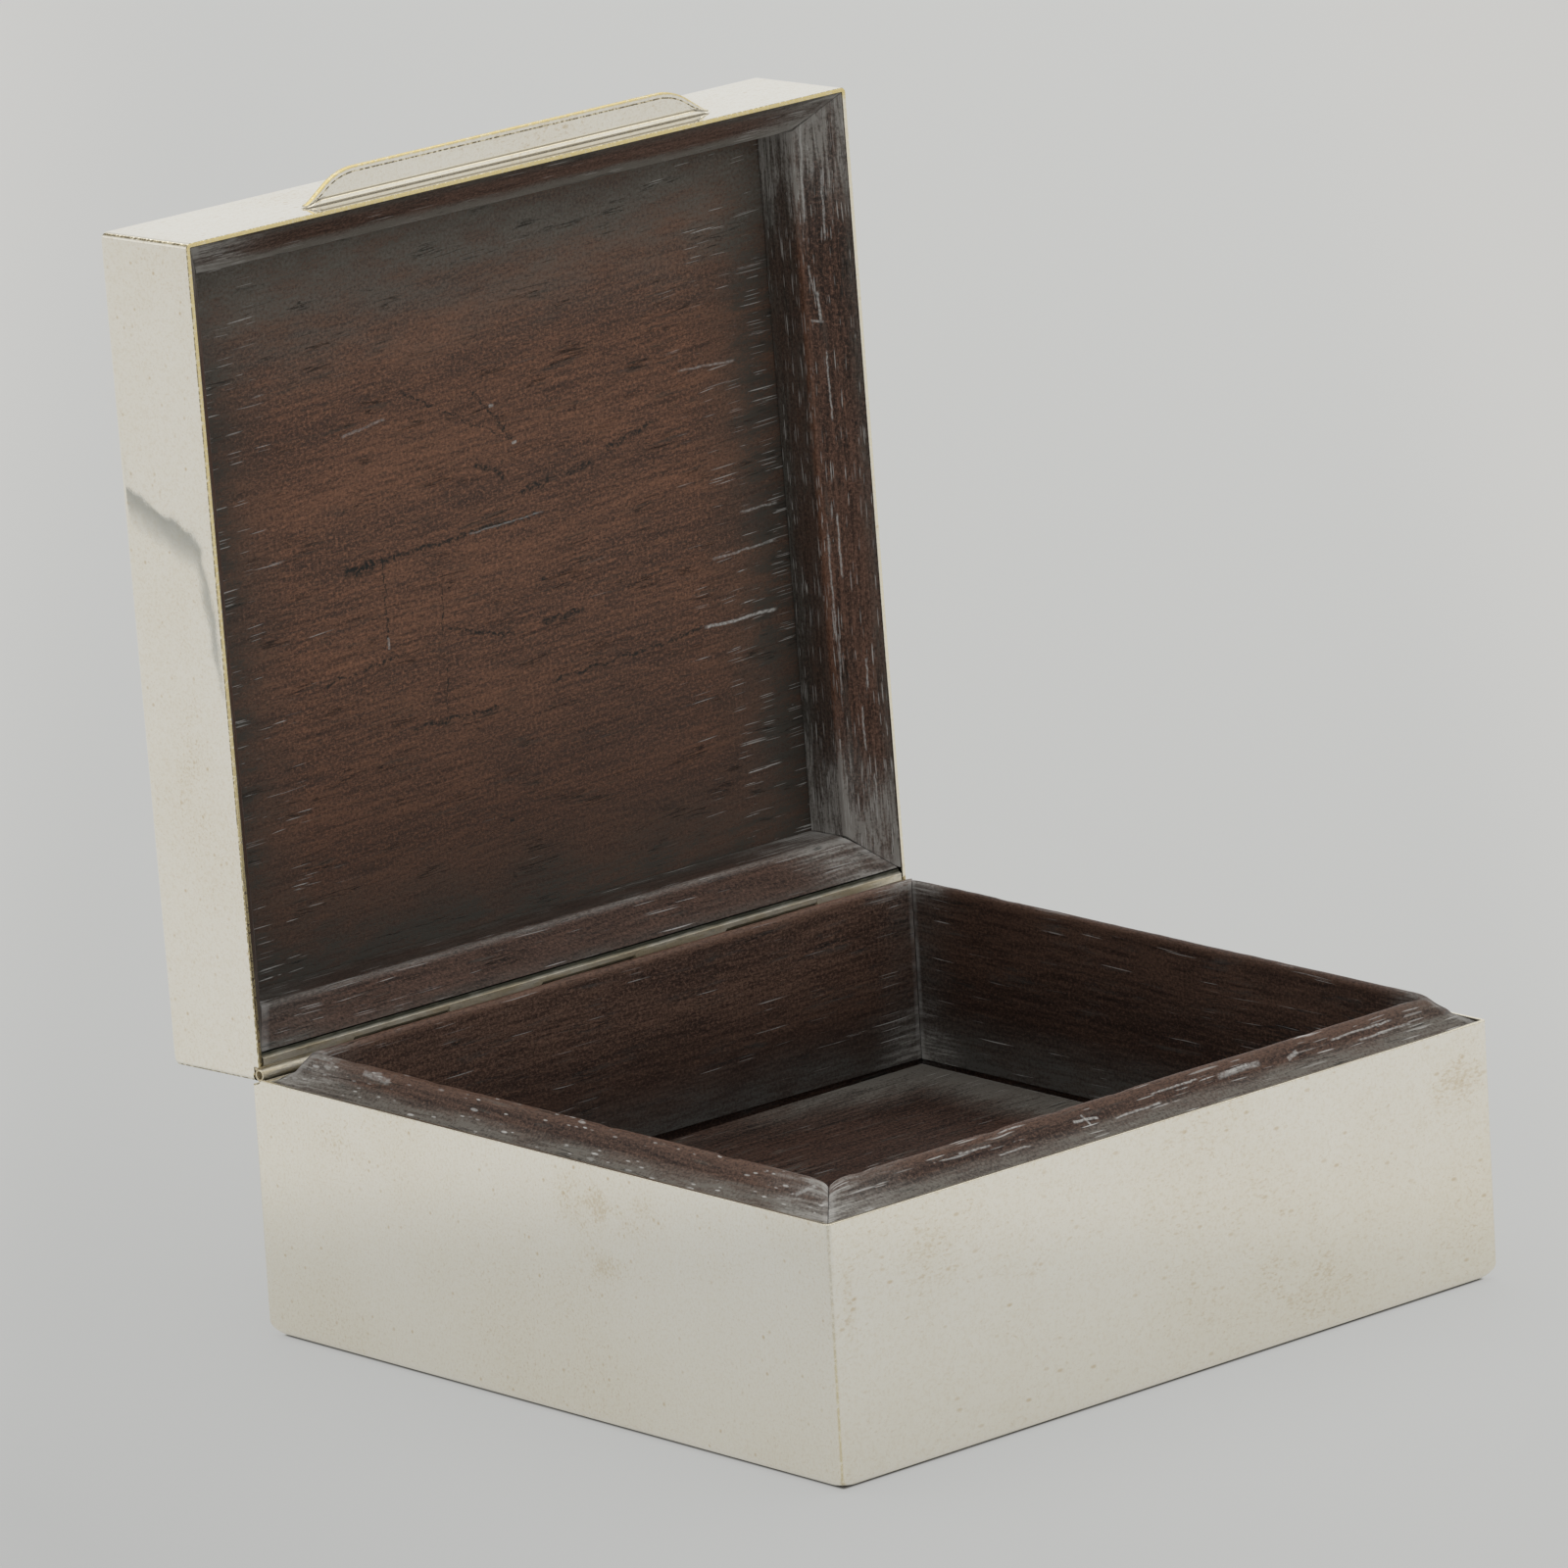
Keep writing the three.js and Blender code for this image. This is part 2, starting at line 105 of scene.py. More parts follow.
class SilverSettings(bpy.types.PropertyGroup):
    """Sizes and colours of the silver case, the lid and the thumb piece."""

    sheet: length("Sheet", "Thickness of the silver sheet", 0.8)
    upright_radius: length("Upright edges", "Radius of the upright edges", 1.0)
    foot_radius: length("Foot edge", "Radius of the edge round the foot", 2.5)
    foot_corner: length("Foot corner", "Radius of the foot's corners seen from below", 3.5)
    foot_flange: length("Foot flange", "Width of the silver under the box", 8.0)
    lid_edge: length("Lid edge", "Radius of the edge round the lid's top", 1.6)
    lid_corner: length("Lid corner", "Radius of the lid's corners seen from above", 2.2)
    rim_softness: length("Rim softness", "Radius of the worn edges of the rims", 0.14)
    thumb_end: length("Thumb end", "Run of the slanted ends of the thumb piece", 8.0)
    thumb_shoulder: length("Thumb shoulder", "Run of the curve at each end's shoulder", 4.0)
    thumb_plate: length("Thumb plate", "Thickness of the thumb piece", 1.1)
    thumb_root: length("Thumb root", "Reach of the thicker root at the lid", 0.8)
    thumb_bead: length("Thumb edge", "Radius of the thumb piece's rounded edge", 0.3)
    polished: colour("Silver", "Clean polished silver", (0.995, 0.970, 0.900))
    cream: colour("Cream", "Silver that has yellowed a little", (0.940, 0.890, 0.765))
    tan: colour("Tan specks", "Light tarnish in specks and patches", (0.80, 0.69, 0.52))
    gilt: colour("Gilt edge", "Yellowed silver along the rims and edges", (0.90, 0.75, 0.38))
    # Dark tarnish in dots by the edges, and painted shade on the foot's rounded edge for the dark contact line
    # under the box.
    grime_and_shade: colour("Grime", "Dark tarnish beside the edges", (0.13, 0.10, 0.065))


class LiningSettings(bpy.types.PropertyGroup):
    """Sizes and colours of the wood in the base and the lid."""

    ridge_radius: length("Ridge", "Radius of the ridge on the base's lining", 0.9)
    shoulder_run: length("Shoulder run", "Width of the shelf between silver and slope", 3.3)
    shoulder_height: length("Shoulder height", "Height of the slope's foot above the rim", 1.5)
    foot_drop: length("Foot drop", "Drop of the shelf below the rim at the silver", 0.4)
    mitre_gap: length("Mitre gap", "Gap at the mitred joints", 0.12)
    bearer_room: length("Bearer room", "Gap between the wood and the hinge strips", 0.3)
    lid_joint: length("Lid joint", "Gap between the lid's boards and the silver", 0.08)
    back_rise: length("Back rise", "How much higher the lip stands at the hinge", 0.35)
    floor_gap: length("Floor gap", "Height of the shadow gap between the walls and the floor", 0.55)
    gap_wedge: length("Gap wedge", "Extra height of the gap at the left end of the back wall", 1.4)
    gap_depth: length("Gap depth", "Depth of the shadow gap", 1.2)
    arris: length("Arris", "Radius of the worn arris of the lid's lining", 0.5)
    bevel_depth: length("Bevel depth", "Depth of the lid lining's bevel from the rim", 7.3)
    corner_wear: length("Corner wear", "Height lost by the ridges at the corners", 1.3)
    panel_warm: colour("Panel, warm", "Reddish brown of the lid's panel", (0.262, 0.126, 0.074))
    panel_dark: colour("Panel, dark", "Darker brown of the lid's panel", (0.078, 0.047, 0.036))
    frame_warm: colour("Lid frame, warm", "Brown of the lid's boards", (0.140, 0.074, 0.050))
    frame_dark: colour("Lid frame, dark", "Darker brown of the lid's boards", (0.046, 0.029, 0.022))
    lining_warm: colour("Lining, warm", "Brown of the base's boards", (0.120, 0.069, 0.048))
    lining_dark: colour("Lining, dark", "Darker brown of the base's boards", (0.024, 0.014, 0.011))
    floor_warm: colour("Floor, warm", "Brown of the floor inside", (0.106, 0.057, 0.040))
    floor_dark: colour("Floor, dark", "Darker brown of the floor inside", (0.010, 0.007, 0.006))
    # The bloom colour also greys the top of the lid's panel as a painted sheen.
    bloom: colour("Bloom", "Grey bloom in the corners and along the silver", (0.188, 0.173, 0.148))
    frost: colour("Frost", "Pale bloom at the ends of the boards", (0.36, 0.343, 0.315))
    dust: colour("Dust", "Grey dust on the walls and the floor inside", (0.088, 0.086, 0.078))
    film: colour("Film", "Grey film in the lid", (0.100, 0.098, 0.086))
    # A dark film with painted shade on the panel's borders beside the frame boards.
    shade: colour("Shade", "Dark film on the borders of the lid's panel", (0.062, 0.060, 0.051))
    soot: colour("Soot", "Dark dents and cracks", (0.018, 0.020, 0.018))
    chalk: colour("Chalk", "White polish left in the pores", (0.58, 0.57, 0.545))
    raw: colour("Raw board", "Unfinished wood of the bottom board", (0.20, 0.125, 0.075))


class HingeSettings(bpy.types.PropertyGroup):
    """Sizes and colours of the hinge and the underside."""

    knuckles: IntProperty(
        name="Knuckles", description="Number of knuckles in the hinge", default=7, min=3, max=31
    )
    tube_radius: length("Tube radius", "Outer radius of the knuckles", 1.15)
    bore_radius: length("Bore radius", "Radius of the hole through the knuckles", 0.75)
    tube_gap: length("Tube gap", "Gap between two knuckles", 0.25)
    tube_softness: length("Tube softness", "Radius of the edges of the knuckles' ends", 0.12)
    clearance: length("Clearance", "Room round the knuckles", 0.3)
    metal: colour("Hinge silver", "Dull silver of the hinge", (0.88, 0.83, 0.71))
    brassy: colour("Brassy", "Yellowed parts of the hinge", (0.74, 0.65, 0.47))
    dirt: colour("Hinge dirt", "Greenish dirt in the hinge", (0.052, 0.052, 0.037))
    baize: colour("Baize", "Felt under the box", (0.030, 0.062, 0.040))


class StageSettings(bpy.types.PropertyGroup):
    """Camera, floor and light."""

    lens: FloatProperty(
        name="Lens",
        description="Focal length in millimetres on a 36 mm sensor",
        default=311.272,
        min=1,
    )
    camera_place: FloatVectorProperty(
        name="Camera",
        description="Where the camera stands",
        default=(-1.55607, -1.74607, 0.70112),
        subtype="XYZ",
        unit="LENGTH",
    )
    azimuth: FloatProperty(
        name="Azimuth",
        description="Camera's heading, from +Y towards +X",
        default=math.radians(41.408),
        subtype="ANGLE",
    )
    dip: FloatProperty(
        name="Dip",
        description="Camera's tilt below the horizon",
        default=math.radians(14.457),
        subtype="ANGLE",
    )
    roll: FloatProperty(
        name="Roll",
        description="Camera's turn about its own line of sight",
        default=math.radians(3.369),
        subtype="ANGLE",
    )
    paper: colour("Paper", "Pale paper under and behind the box", (0.575, 0.575, 0.560))
    # The ground's colours paint light and shade on the floor: darker at the front left, lighter behind the box.
    shaded_near_ground: colour("Ground, near", "Pale ground at the front left", (0.497, 0.499, 0.494))
    lit_far_ground: colour("Ground, far", "Pale ground behind the box", (0.610, 0.610, 0.600))
    side_ground: colour("Ground, beside", "Ground beside the camera's view", (0.617, 0.611, 0.597))
    glow: FloatProperty(
        name="Ground share",
        description="How much of the floor in view is the pale ground, and not lit paper",
        default=0.82,
        min=0,
        max=1,
    )
    card: colour("Card", "Grey card beside the box, which the lid reflects", (0.30, 0.31, 0.30))
    horizon: colour("Room walls", "Walls of the room, which light the sides", (0.73, 0.73, 0.725))
    zenith: colour("Room ceiling", "Ceiling, which lights the floor", (0.55, 0.55, 0.55))
    lamp_power: FloatProperty(
        name="Lamp power", description="Power of the soft lamp overhead in watts", default=33, min=0
    )


# Mesh drawing

# Edges that turn by more than this many degrees stay sharp.
SHARP_EDGE = 40
SHARP_TUBE_EDGE = 35


def smooth(value, low, high):
    """0 at low and 1 at high, with a soft start and end."""
    share = min(max((value - low) / (high - low), 0), 1)
    return share * share * (3 - 2 * share)


def ripple(*place):
    """Smooth noise from about -1 to 1 at a place of up to three numbers."""
    return noise.noise(Vector((*place, 0, 0)[:3]))


class Shape:
    """Points in millimetres with their pattern places and wear, and the faces between them."""

    def __init__(self):
        self.points = []
        self.faces = []
        self.grain = []
        self.wear = []

    def point(self, place, grain=None, wear=(0, 0, 0)):
        """Adds one point. Its pattern place is its own place unless another is given."""
        self.points.append(Vector(place))
        self.grain.append(Vector(place if grain is None else grain))
        self.wear.append(Vector(wear))
        return len(self.points) - 1

    def row(self, marks):
        """Adds a row of points and gives their numbers."""
        return [self.point(*mark) for mark in marks]

    def bridge(self, lower, upper, closed=True):
        """Faces between two rows of as many points."""
        count = len(lower)
        for index in range(count if closed else count - 1):
            after = (index + 1) % count
            self.faces.append((lower[index], lower[after], upper[after], upper[index]))

    def skin(self, rows, ends=True):
        """Faces over a run of closed rows, with a face on each end or joined into a loop."""
        for lower, upper in zip(rows, rows[1:]):
            self.bridge(lower, upper)
        if ends:
            self.faces.append(tuple(reversed(rows[0])))
            self.faces.append(tuple(rows[-1]))
        else:
            self.bridge(rows[-1], rows[0])

    def piece(self, name, turn=Matrix()):
        """The finished object, with its place in its mesh."""
        mesh = bpy.data.meshes.new(name)
        mesh.from_pydata([place * MM for place in self.points], [], self.faces)
        mesh.transform(turn)
        for key, values in (("grain", self.grain), ("wear", self.wear)):
            layer = mesh.attributes.new(key, "FLOAT_VECTOR", "POINT")
            layer.data.foreach_set("vector", [number for value in values for number in value])
        return finish_mesh(bpy.data.objects.new(name, mesh), SHARP_EDGE)


def finish_mesh(piece, sharp):
    """Turns the faces outwards, smooths them up to an angle in degrees and links the piece."""
    mesh = piece.data
    draft = bmesh.new()
    draft.from_mesh(mesh)
    bmesh.ops.recalc_face_normals(draft, faces=draft.faces)
    draft.to_mesh(mesh)
    draft.free()
    mesh.shade_smooth()
    mesh.set_sharp_from_angle(angle=math.radians(sharp))
    if piece.name not in bpy.context.scene.collection.objects:
        bpy.context.scene.collection.objects.link(piece)
    return piece


def dress(piece, finish, body, slot, *nodes):
    """Gives a piece its material, puts it on the body it rides on and hides the nodes it replaces."""
    piece.data.materials.clear()
    piece.data.materials.append(finish)
    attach(piece, body)
    if nodes:
        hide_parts(*nodes)


def paint(node, finish):
    """Gives a CAD node that stays in view its material."""
    mesh = frame["nodes"][node].data
    mesh.materials.clear()
    mesh.materials.append(finish)


# Shader drawing


class Wire:
    """One output of a shader tree. Arithmetic on it adds Math nodes."""

    def __init__(self, finish, socket):
        self.finish = finish
        self.socket = socket

    def _math(self, operation, first, second):
        return self.finish.node("ShaderNodeMath", {"operation": operation}, {0: first, 1: second})

    def __add__(self, other):
        return self._math("ADD", self, other)

    def __radd__(self, other):
        return self._math("ADD", other, self)

    def __sub__(self, other):
        return self._math("SUBTRACT", self, other)

    def __rsub__(self, other):
        return self._math("SUBTRACT", other, self)

    def __mul__(self, other):
        return self._math("MULTIPLY", self, other)

    def __rmul__(self, other):
        return self._math("MULTIPLY", other, self)

    def __truediv__(self, other):
        return self._math("DIVIDE", self, other)

    def __pow__(self, other):
        return self._math("POWER", self, other)

    def __abs__(self):
        return self._math("ABSOLUTE", self, 0)

    def most(self, other):
        """The larger of two values."""
        return self._math("MAXIMUM", self, other)

    def least(self, other):
        """The smaller of two values."""
        return self._math("MINIMUM", self, other)

    def between(self, low, high):
        """0 at low and 1 at high, with a soft start and end. High may be the smaller one."""
        return self.finish.node(
            "ShaderNodeMapRange",
            {"interpolation_type": "SMOOTHSTEP"},
            {"Value": self, "From Min": low, "From Max": high},
        )

    def other(self, output):
        """Another output of the same node."""
        return Wire(self.finish, self.socket.node.outputs[output])


class Drawing:
    """A node tree whose nodes are added by expressions."""

    def __init__(self, tree):
        self.tree = tree

    def node(self, kind, settings=None, sockets=None, output=0):
        """Adds any node: its type, its settings, and the values or links of its sockets."""
        node = self.tree.nodes.new(kind)
        for key, value in (settings or {}).items():
            setattr(node, key, value)
        for key, value in (sockets or {}).items():
            self.feed(node.inputs[key], value)
        return Wire(self, node.outputs[output] if node.outputs else None)

    def feed(self, socket, value):
        """Links a wire to a socket, or sets the socket to a number, vector or colour."""
        if isinstance(value, Wire):
            self.tree.links.new(value.socket, socket)
        elif socket.type == "RGBA":
            socket.default_value = (*value[:3], 1)
        else:
            socket.default_value = value

    def split(self, vector):
        """The three parts of a vector."""
        first = self.node("ShaderNodeSeparateXYZ", None, {0: vector})
        return first, first.other(1), first.other(2)

    def join(self, x, y, z):
        """A vector of three parts."""
        return self.node("ShaderNodeCombineXYZ", None, {0: x, 1: y, 2: z})

    def mix(self, share, first, second):
        """A colour between two."""
        sockets = {0: share, 6: first, 7: second}
        return self.node("ShaderNodeMix", {"data_type": "RGBA"}, sockets, output=2)


class Finish(Drawing):
    """A material with one shader."""

    def __init__(self, name):
        self.material = bpy.data.materials.new(name)
        self.material.use_nodes = True
        super().__init__(self.material.node_tree)
        self.tree.nodes.clear()
        self.shader = self.tree.nodes.new("ShaderNodeBsdfPrincipled")
        self.output = self.tree.nodes.new("ShaderNodeOutputMaterial")
        self.feed(self.output.inputs["Surface"], Wire(self, self.shader.outputs[0]))

    def surface(self, **sockets):
        """Feeds the shader's sockets, named with underscores for spaces."""
        for key, value in sockets.items():
            self.feed(self.shader.inputs[key.replace("_", " ")], value)
        return self.material

    def mark(self, name):
        """A vector that the mesh carries at each point."""
        return self.node("ShaderNodeAttribute", {"attribute_name": name}, output="Vector")

    def place(self):
        """Object coordinates in millimetres."""
        metres = self.node("ShaderNodeTexCoord", output="Object")
        return self.stretch(metres, (1 / MM, 1 / MM, 1 / MM))

    def stretch(self, vector, scale, turn=(0, 0, 0), shift=(0, 0, 0)):
        """A vector scaled, turned and shifted."""
        return self.node(
            "ShaderNodeMapping",
            {"vector_type": "POINT"},
            {"Vector": vector, "Location": shift, "Rotation": turn, "Scale": scale},
        )

    def noise(self, vector, scale, detail=2.0, roughness=0.5):
        """Cloudy noise from 0 to 1."""
        return self.node(
            "ShaderNodeTexNoise",
            None,
            {"Vector": vector, "Scale": scale, "Detail": detail, "Roughness": roughness},
        )

    def cells(self, vector, scale):
        """Distance to the nearest of many scattered points. Output 1 is a colour for each."""
        return self.node("ShaderNodeTexVoronoi", None, {"Vector": vector, "Scale": scale})

    def vector_math(self, operation, first, second, output=0):
        """One step of vector arithmetic."""
        sockets = {0: first, 1: second}
        return self.node("ShaderNodeVectorMath", {"operation": operation}, sockets, output)

    def spot(self, vector, centre, radii):
        """1 at a centre, falling to 0 at an ellipse round it."""
        offset = self.vector_math("SUBTRACT", vector, centre)
        scaled = self.vector_math("MULTIPLY", offset, [1 / radius for radius in radii])
        return self.vector_math("LENGTH", scaled, (0, 0, 0), "Value").between(1, 0)

    def stroke(self, vector, start, end, width):
        """1 along the line from start to end in the plane of X and Y, 0 beside it."""
        run = Vector(end) - Vector(start)
        run_length = run.length
        run.normalize()
        offset = self.vector_math("SUBTRACT", vector, (*start, 0))
        along = self.vector_math("DOT_PRODUCT", offset, (run.x, run.y, 0), "Value")
        across = self.vector_math("DOT_PRODUCT", offset, (-run.y, run.x, 0), "Value")
        ends = abs(along - run_length / 2).between(run_length / 2, run_length * 0.42)
        return abs(across).between(width, width * 0.35) * ends

    def most_of(self, masks):
        """The largest of several values."""
        masks = list(masks)
        result = masks[0]
        for mask in masks[1:]:
            result = result.most(mask)
        return result

    def bump(self, height, metres):
        """A normal from a height, which is in units of that many metres."""
        return self.node("ShaderNodeBump", None, {"Height": height, "Distance": metres, "Strength": 1.0})


def silver_finish(name, stains, polish, dents, gilt_rim, edge_line, foot_line=1.0):
    """Polished old silver: tan specks, stains, yellowed edges and faint scratches.

    Each stain is a centre, its radii and its strength, in millimetres on the shut box.
    polish is its lowest roughness and dents the height of its dents in metres. gilt_rim and
    edge_line give how yellow the rims and the edges are, and foot_line how much of the edges'
    yellow is left above the foot. The rims are yellowest at the front and then at the left,
    and the upright edges at the right are the cleanest.
    """
    look = bpy.context.scene.cigar_box_silver
    finish = Finish(name)
    place = finish.mark("grain")
    edge, rim, foot = finish.split(finish.mark("wear"))
    width, depth, height = finish.split(place)
    clouds = finish.noise(place, 0.03, 3)
    mottle = finish.noise(place, 0.5, 3, 0.6)
    grain = finish.noise(place, 1.7, 2, 0.7)
    spots = [finish.spot(place, centre, radii) * strength for centre, radii, strength in stains]
    stain = finish.most_of(spots) * finish.noise(place, 0.14, 3).between(0.34, 0.62)
    slanted = finish.stretch(place, (0.5, 1.0, 1.0), (0.5, 0.75, 0.6))
    crowd = (clouds.between(0.40, 0.70) * 0.55 + stain).least(1)
    blots = finish.noise(slanted, 1.7, 4, 0.7)
    blots = (blots + 0.13 * crowd + 0.06 * stain).between(0.58, 0.78)
    cell = finish.cells(slanted, 0.62)
    chosen, reach, _ = finish.split(cell.other(1))
    specks = cell.between(0.30, 0.08) * (chosen + 0.25 * crowd).between(0.76, 0.88) * reach
    dots = finish.noise(place, 1.5, 2, 0.7)
    line = edge.between(0.70, 1.0) * dots.between(0.24, 0.54)
    line = line * (foot_line + (1 - foot_line) * height.between(36, 18))
    front = depth.between(-74, -76)
    left = width.between(-70, -76)
    right = width.between(72, 76)
    line = line * (1 - 0.8 * right * (1 - front))
    grimy = edge.between(0.72, 0.95) * dots.between(0.38, 0.58) * (1 - rim) * foot_line
    # The base's sides are painted creamier and darker towards the foot, a painted gradient of their reflection, on
    # top of the yellowing in the mottle, clouds and stains.
    cream = height.between(44, 4) * 0.38 + mottle.between(0.35, 0.75) * 0.18
    cream = cream + clouds.between(0.40, 0.66) * 0.22 + stain * 0.3
    body = finish.mix(cream.least(1), look.polished, look.cream)
    body = finish.mix(grain.between(0.46, 0.70) * 0.22, body, look.tan)
    body = finish.mix((blots * 0.65 + specks * 0.9).least(1), body, look.tan)
    body = finish.mix(line * edge_line, body, look.gilt)
    yellow = (0.10 + 0.35 * left).most(front)
    gilded = rim * gilt_rim * yellow * (0.6 + 0.4 * dots.between(0.4, 0.6))
    body = finish.mix(gilded.most(foot.between(0.02, 0.3) * 0.25), body, look.gilt)
    # The grime colour: tarnish in dots along the edges, dirt in the rims' inner edges, dark lines at the thumb
    # piece's root, and painted shade along the foot's rounded edge, the dark contact line under the box.
    body = finish.mix((grimy * edge_line).most(foot.between(0.30, 0.75) * 0.75), body, look.grime_and_shade)
    hairs = finish.noise(finish.stretch(place, (0.25, 2.2, 2.2), (0.3, 0.5, 0.7)), 1.0, 2)
    relief = clouds + hairs * 0.006
    wear = 0.5 * mottle + 0.4 * blots + 1.2 * specks + 3.5 * grimy
    return finish.surface(
        Base_Color=body,
        Metallic=1.0,
        Roughness=polish + polish * wear + 0.25 * line + 0.3 * foot,
        Normal=finish.bump(relief, dents),
    )


def wood_finish(
    name,
    tones,
    seed,
    film,
    haze,
    chalk,
    dash,
    frost=(0.0, 0.0, 0.0, 1.0),
    reach=(-40, 40),
    slant=0.0,
    worn=None,
    rub=1.0,
    border=None,
    painted_shade=(0.0, 1.0, 0.0),
    bloom_and_sheen=(0.0, 1.0, 0.0),
    scars=(),
):
    """Old open-pored wood: figure, fibres, cracks, chalky pores, bloom and worn ridges.

    The mesh gives places along, across and through the grain in millimetres, and the wear
    gives ridges, edges against the silver or another board, and ends. tones are its warm and
    its dark colour. film is the colour of the haze on its edges and haze how strong that is at
    its two ends, chalk how many pores are white on the open face, at the edges and on the
    ridges, dash the length and width of a pore, frost how pale its two ends are, how much of
    that lies on the open face and how much beyond the ridge, and reach the places along the
    grain between which haze and frost change. slant is the grain's turn in degrees, worn the
    colour of its ridges and rub how much of that there is; on the lid's pale arrises that is
    wear and a painted highlight. border gives two distances from the middle between which the
    white pores come in. dusk gives the places across the grain where painted shade begins and
    ends to darken the wood, and how much, and veil those where it turns grey with bloom and a
    painted sheen, and how much. A scar is a start, an end, a half width and a whiteness, which
    is 0 for a dark one.
    """
    look = bpy.context.scene.cigar_box_lining
    warm, dark = tones
    finish = Finish(name)
    own = finish.mark("grain")
    own_along, own_across, _ = finish.split(own)
    turn = (0, 0, math.radians(slant))
    shifted = finish.stretch(own, (1, 1, 1), turn, (seed * 31.0, seed * 17.0, 0))
    ridge, side, end = finish.split(finish.mark("wear"))
    along, across, through = finish.split(shifted)
    wander = finish.noise(finish.stretch(shifted, (0.03, 0.08, 0.08)), 1.0, 2) - 0.5
    bent = finish.join(along, across + wander * 2.2, through)
    figure = finish.noise(finish.stretch(bent, (0.012, 0.07, 0.07)), 1.0, 3)
    fibre = finish.noise(finish.stretch(bent, (0.09, 1.2, 1.2)), 1.0, 4, 0.7)
    fine = finish.noise(finish.stretch(bent, (1.0, 3.4, 3.4)), 1.0, 3, 0.75)
    streak = finish.noise(finish.stretch(bent, (0.05, 0.85, 0.85)), 1.0, 3, 0.6)
    grit = finish.noise(shifted, 1.6, 3, 0.75)
    smudge = finish.noise(finish.stretch(shifted, (0.07, 0.2, 0.2)), 1.0, 4, 0.6)
    tone = figure * 0.35 + fibre * 0.5 + fine * 0.6
    body = finish.mix(tone.between(0.59, 0.88), dark, warm)
    body = finish.mix(streak.between(0.53, 0.68) * 0.55, body, [part * 0.6 for part in dark])
    body = finish.mix(grit.between(0.50, 0.70) * 0.62, body, [part * 1.7 for part in warm])
    body = finish.mix(grit.between(0.50, 0.32) * 0.62, body, [part * 0.45 for part in dark])
    # Painted shade: the wood darkens across the grain, down the base's walls, on the lid's walls and towards the
    # panel's hinge side.
    shadow = own_across.between(painted_shade[0], painted_shade[1]) * painted_shade[2]
    body = finish.mix(shadow, body, [part * 0.7 for part in dark])
    if worn is None:
        worn = [1.25 * part for part in warm]
    # Pale ridges: rubbed wear, which on the lid's pale arrises is also a painted highlight.
    rubbed_and_highlight = ridge.between(0.45, 1.0) * (0.1 + 0.9 * smudge)
    rubbed_and_highlight = rubbed_and_highlight * (0.35 + 0.9 * fine.between(0.36, 0.60)) * rub
    body = finish.mix(rubbed_and_highlight.least(1), body, worn)
    edges = (side + 0.35 * end * end).least(1)
    wisps = smudge.between(0.46, 0.66) * streak.between(0.48, 0.36) * 0.5
    grey = edges * (0.5 + 0.6 * smudge.between(0.34, 0.66))
    grey = grey * (0.5 + 0.6 * fibre.between(0.38, 0.62))
    grey = grey * (0.45 + grit.between(0.34, 0.64))
    over = own_along.between(*reach)
    grey = (grey * (haze[0] + (haze[1] - haze[0]) * over)).most(wisps).least(0.92)
    body = finish.mix(grey, body, film)
    # Grey across the grain: bloom, which at the top of the lid's panel is a painted sheen.
    bloom_and_sheen_mask = own_across.between(bloom_and_sheen[0], bloom_and_sheen[1]) * bloom_and_sheen[2]
    bloom_and_sheen_mask = bloom_and_sheen_mask * (0.5 + 0.8 * smudge.between(0.34, 0.62))
    body = finish.mix(bloom_and_sheen_mask * (0.5 + grit.between(0.34, 0.64)), body, look.bloom)
    if frost[0] or frost[1]:
        strength = frost[0] + (frost[1] - frost[0]) * over
        pale = end * end * strength * (frost[2] + (1 - frost[2]) * side.most(ridge))
        pale = pale * (0.45 + 0.7 * grit.between(0.34, 0.62))
        pale = pale * (1 - (1 - frost[3]) * own_across.between(0.6, 2.4))
        pale = pale * (0.4 + 1.1 * fibre.between(0.44, 0.60))
        pale = pale * (0.3 + 0.9 * smudge.between(0.34, 0.60))
        pale = pale * (0.6 + 0.6 * streak.between(0.60, 0.40))
        body = finish.mix(pale.least(0.9), body, look.frost)
    veins = abs(finish.noise(finish.stretch(bent, (0.03, 0.55, 0.55)), 1.0, 3, 0.6) - 0.5)
    crack = veins.between(0.018, 0.004) * smudge.between(0.52, 0.66) * fine.between(0.36, 0.52)
    body = finish.mix(crack * 0.7, body, look.soot)
    if border:
        ends = abs(own_along).between(*border)
    else:
        ends = (0.35 * side + end).least(1)
    zone = chalk[0] + chalk[1] * ends + chalk[2] * ridge
    zone = zone * (0.5 + smudge.between(0.40, 0.62))
    chalky = None
    for size in (1.0, 0.6):
        pore = [1 / dash[0] / size, 1 / dash[1] / size, 1 / dash[1] / size]
        cell = finish.cells(finish.stretch(bent, pore), 1.0)
        chosen, strength, _ = finish.split(cell.other(1))
        fill = cell.between(0.36, 0.22) * (zone - chosen).between(0.0, 0.04)
        fill = fill * (0.25 + 0.75 * strength)
        chalky = fill if chalky is None else chalky.most(fill)
    chalky = chalky * fine.between(0.28, 0.44)
    joint = end.between(0.985, 0.999) * (0.25 + 0.75 * smudge.between(0.38, 0.58))
    body = finish.mix((chalky * 0.9).most(joint * 0.32), body, look.chalk)
    if scars:
        jitter = finish.noise(own, 0.3, 3, 0.65) - 0.5
        ragged = finish.noise(own, 1.3, 2, 0.6).between(0.40, 0.58)
        torn = finish.join(own_along + jitter * 2.5, own_across - jitter * 3.2, 0.0)
        straight = finish.join(own_along, own_across - jitter * 0.9, 0.0)
    for start, stop, width, white in scars:
        if white:
            mask = finish.stroke(straight, start, stop, width) * (0.45 + 0.55 * ragged) * white
        else:
            mask = finish.stroke(torn, start, stop, width) * (0.15 + 0.85 * ragged) * 0.9
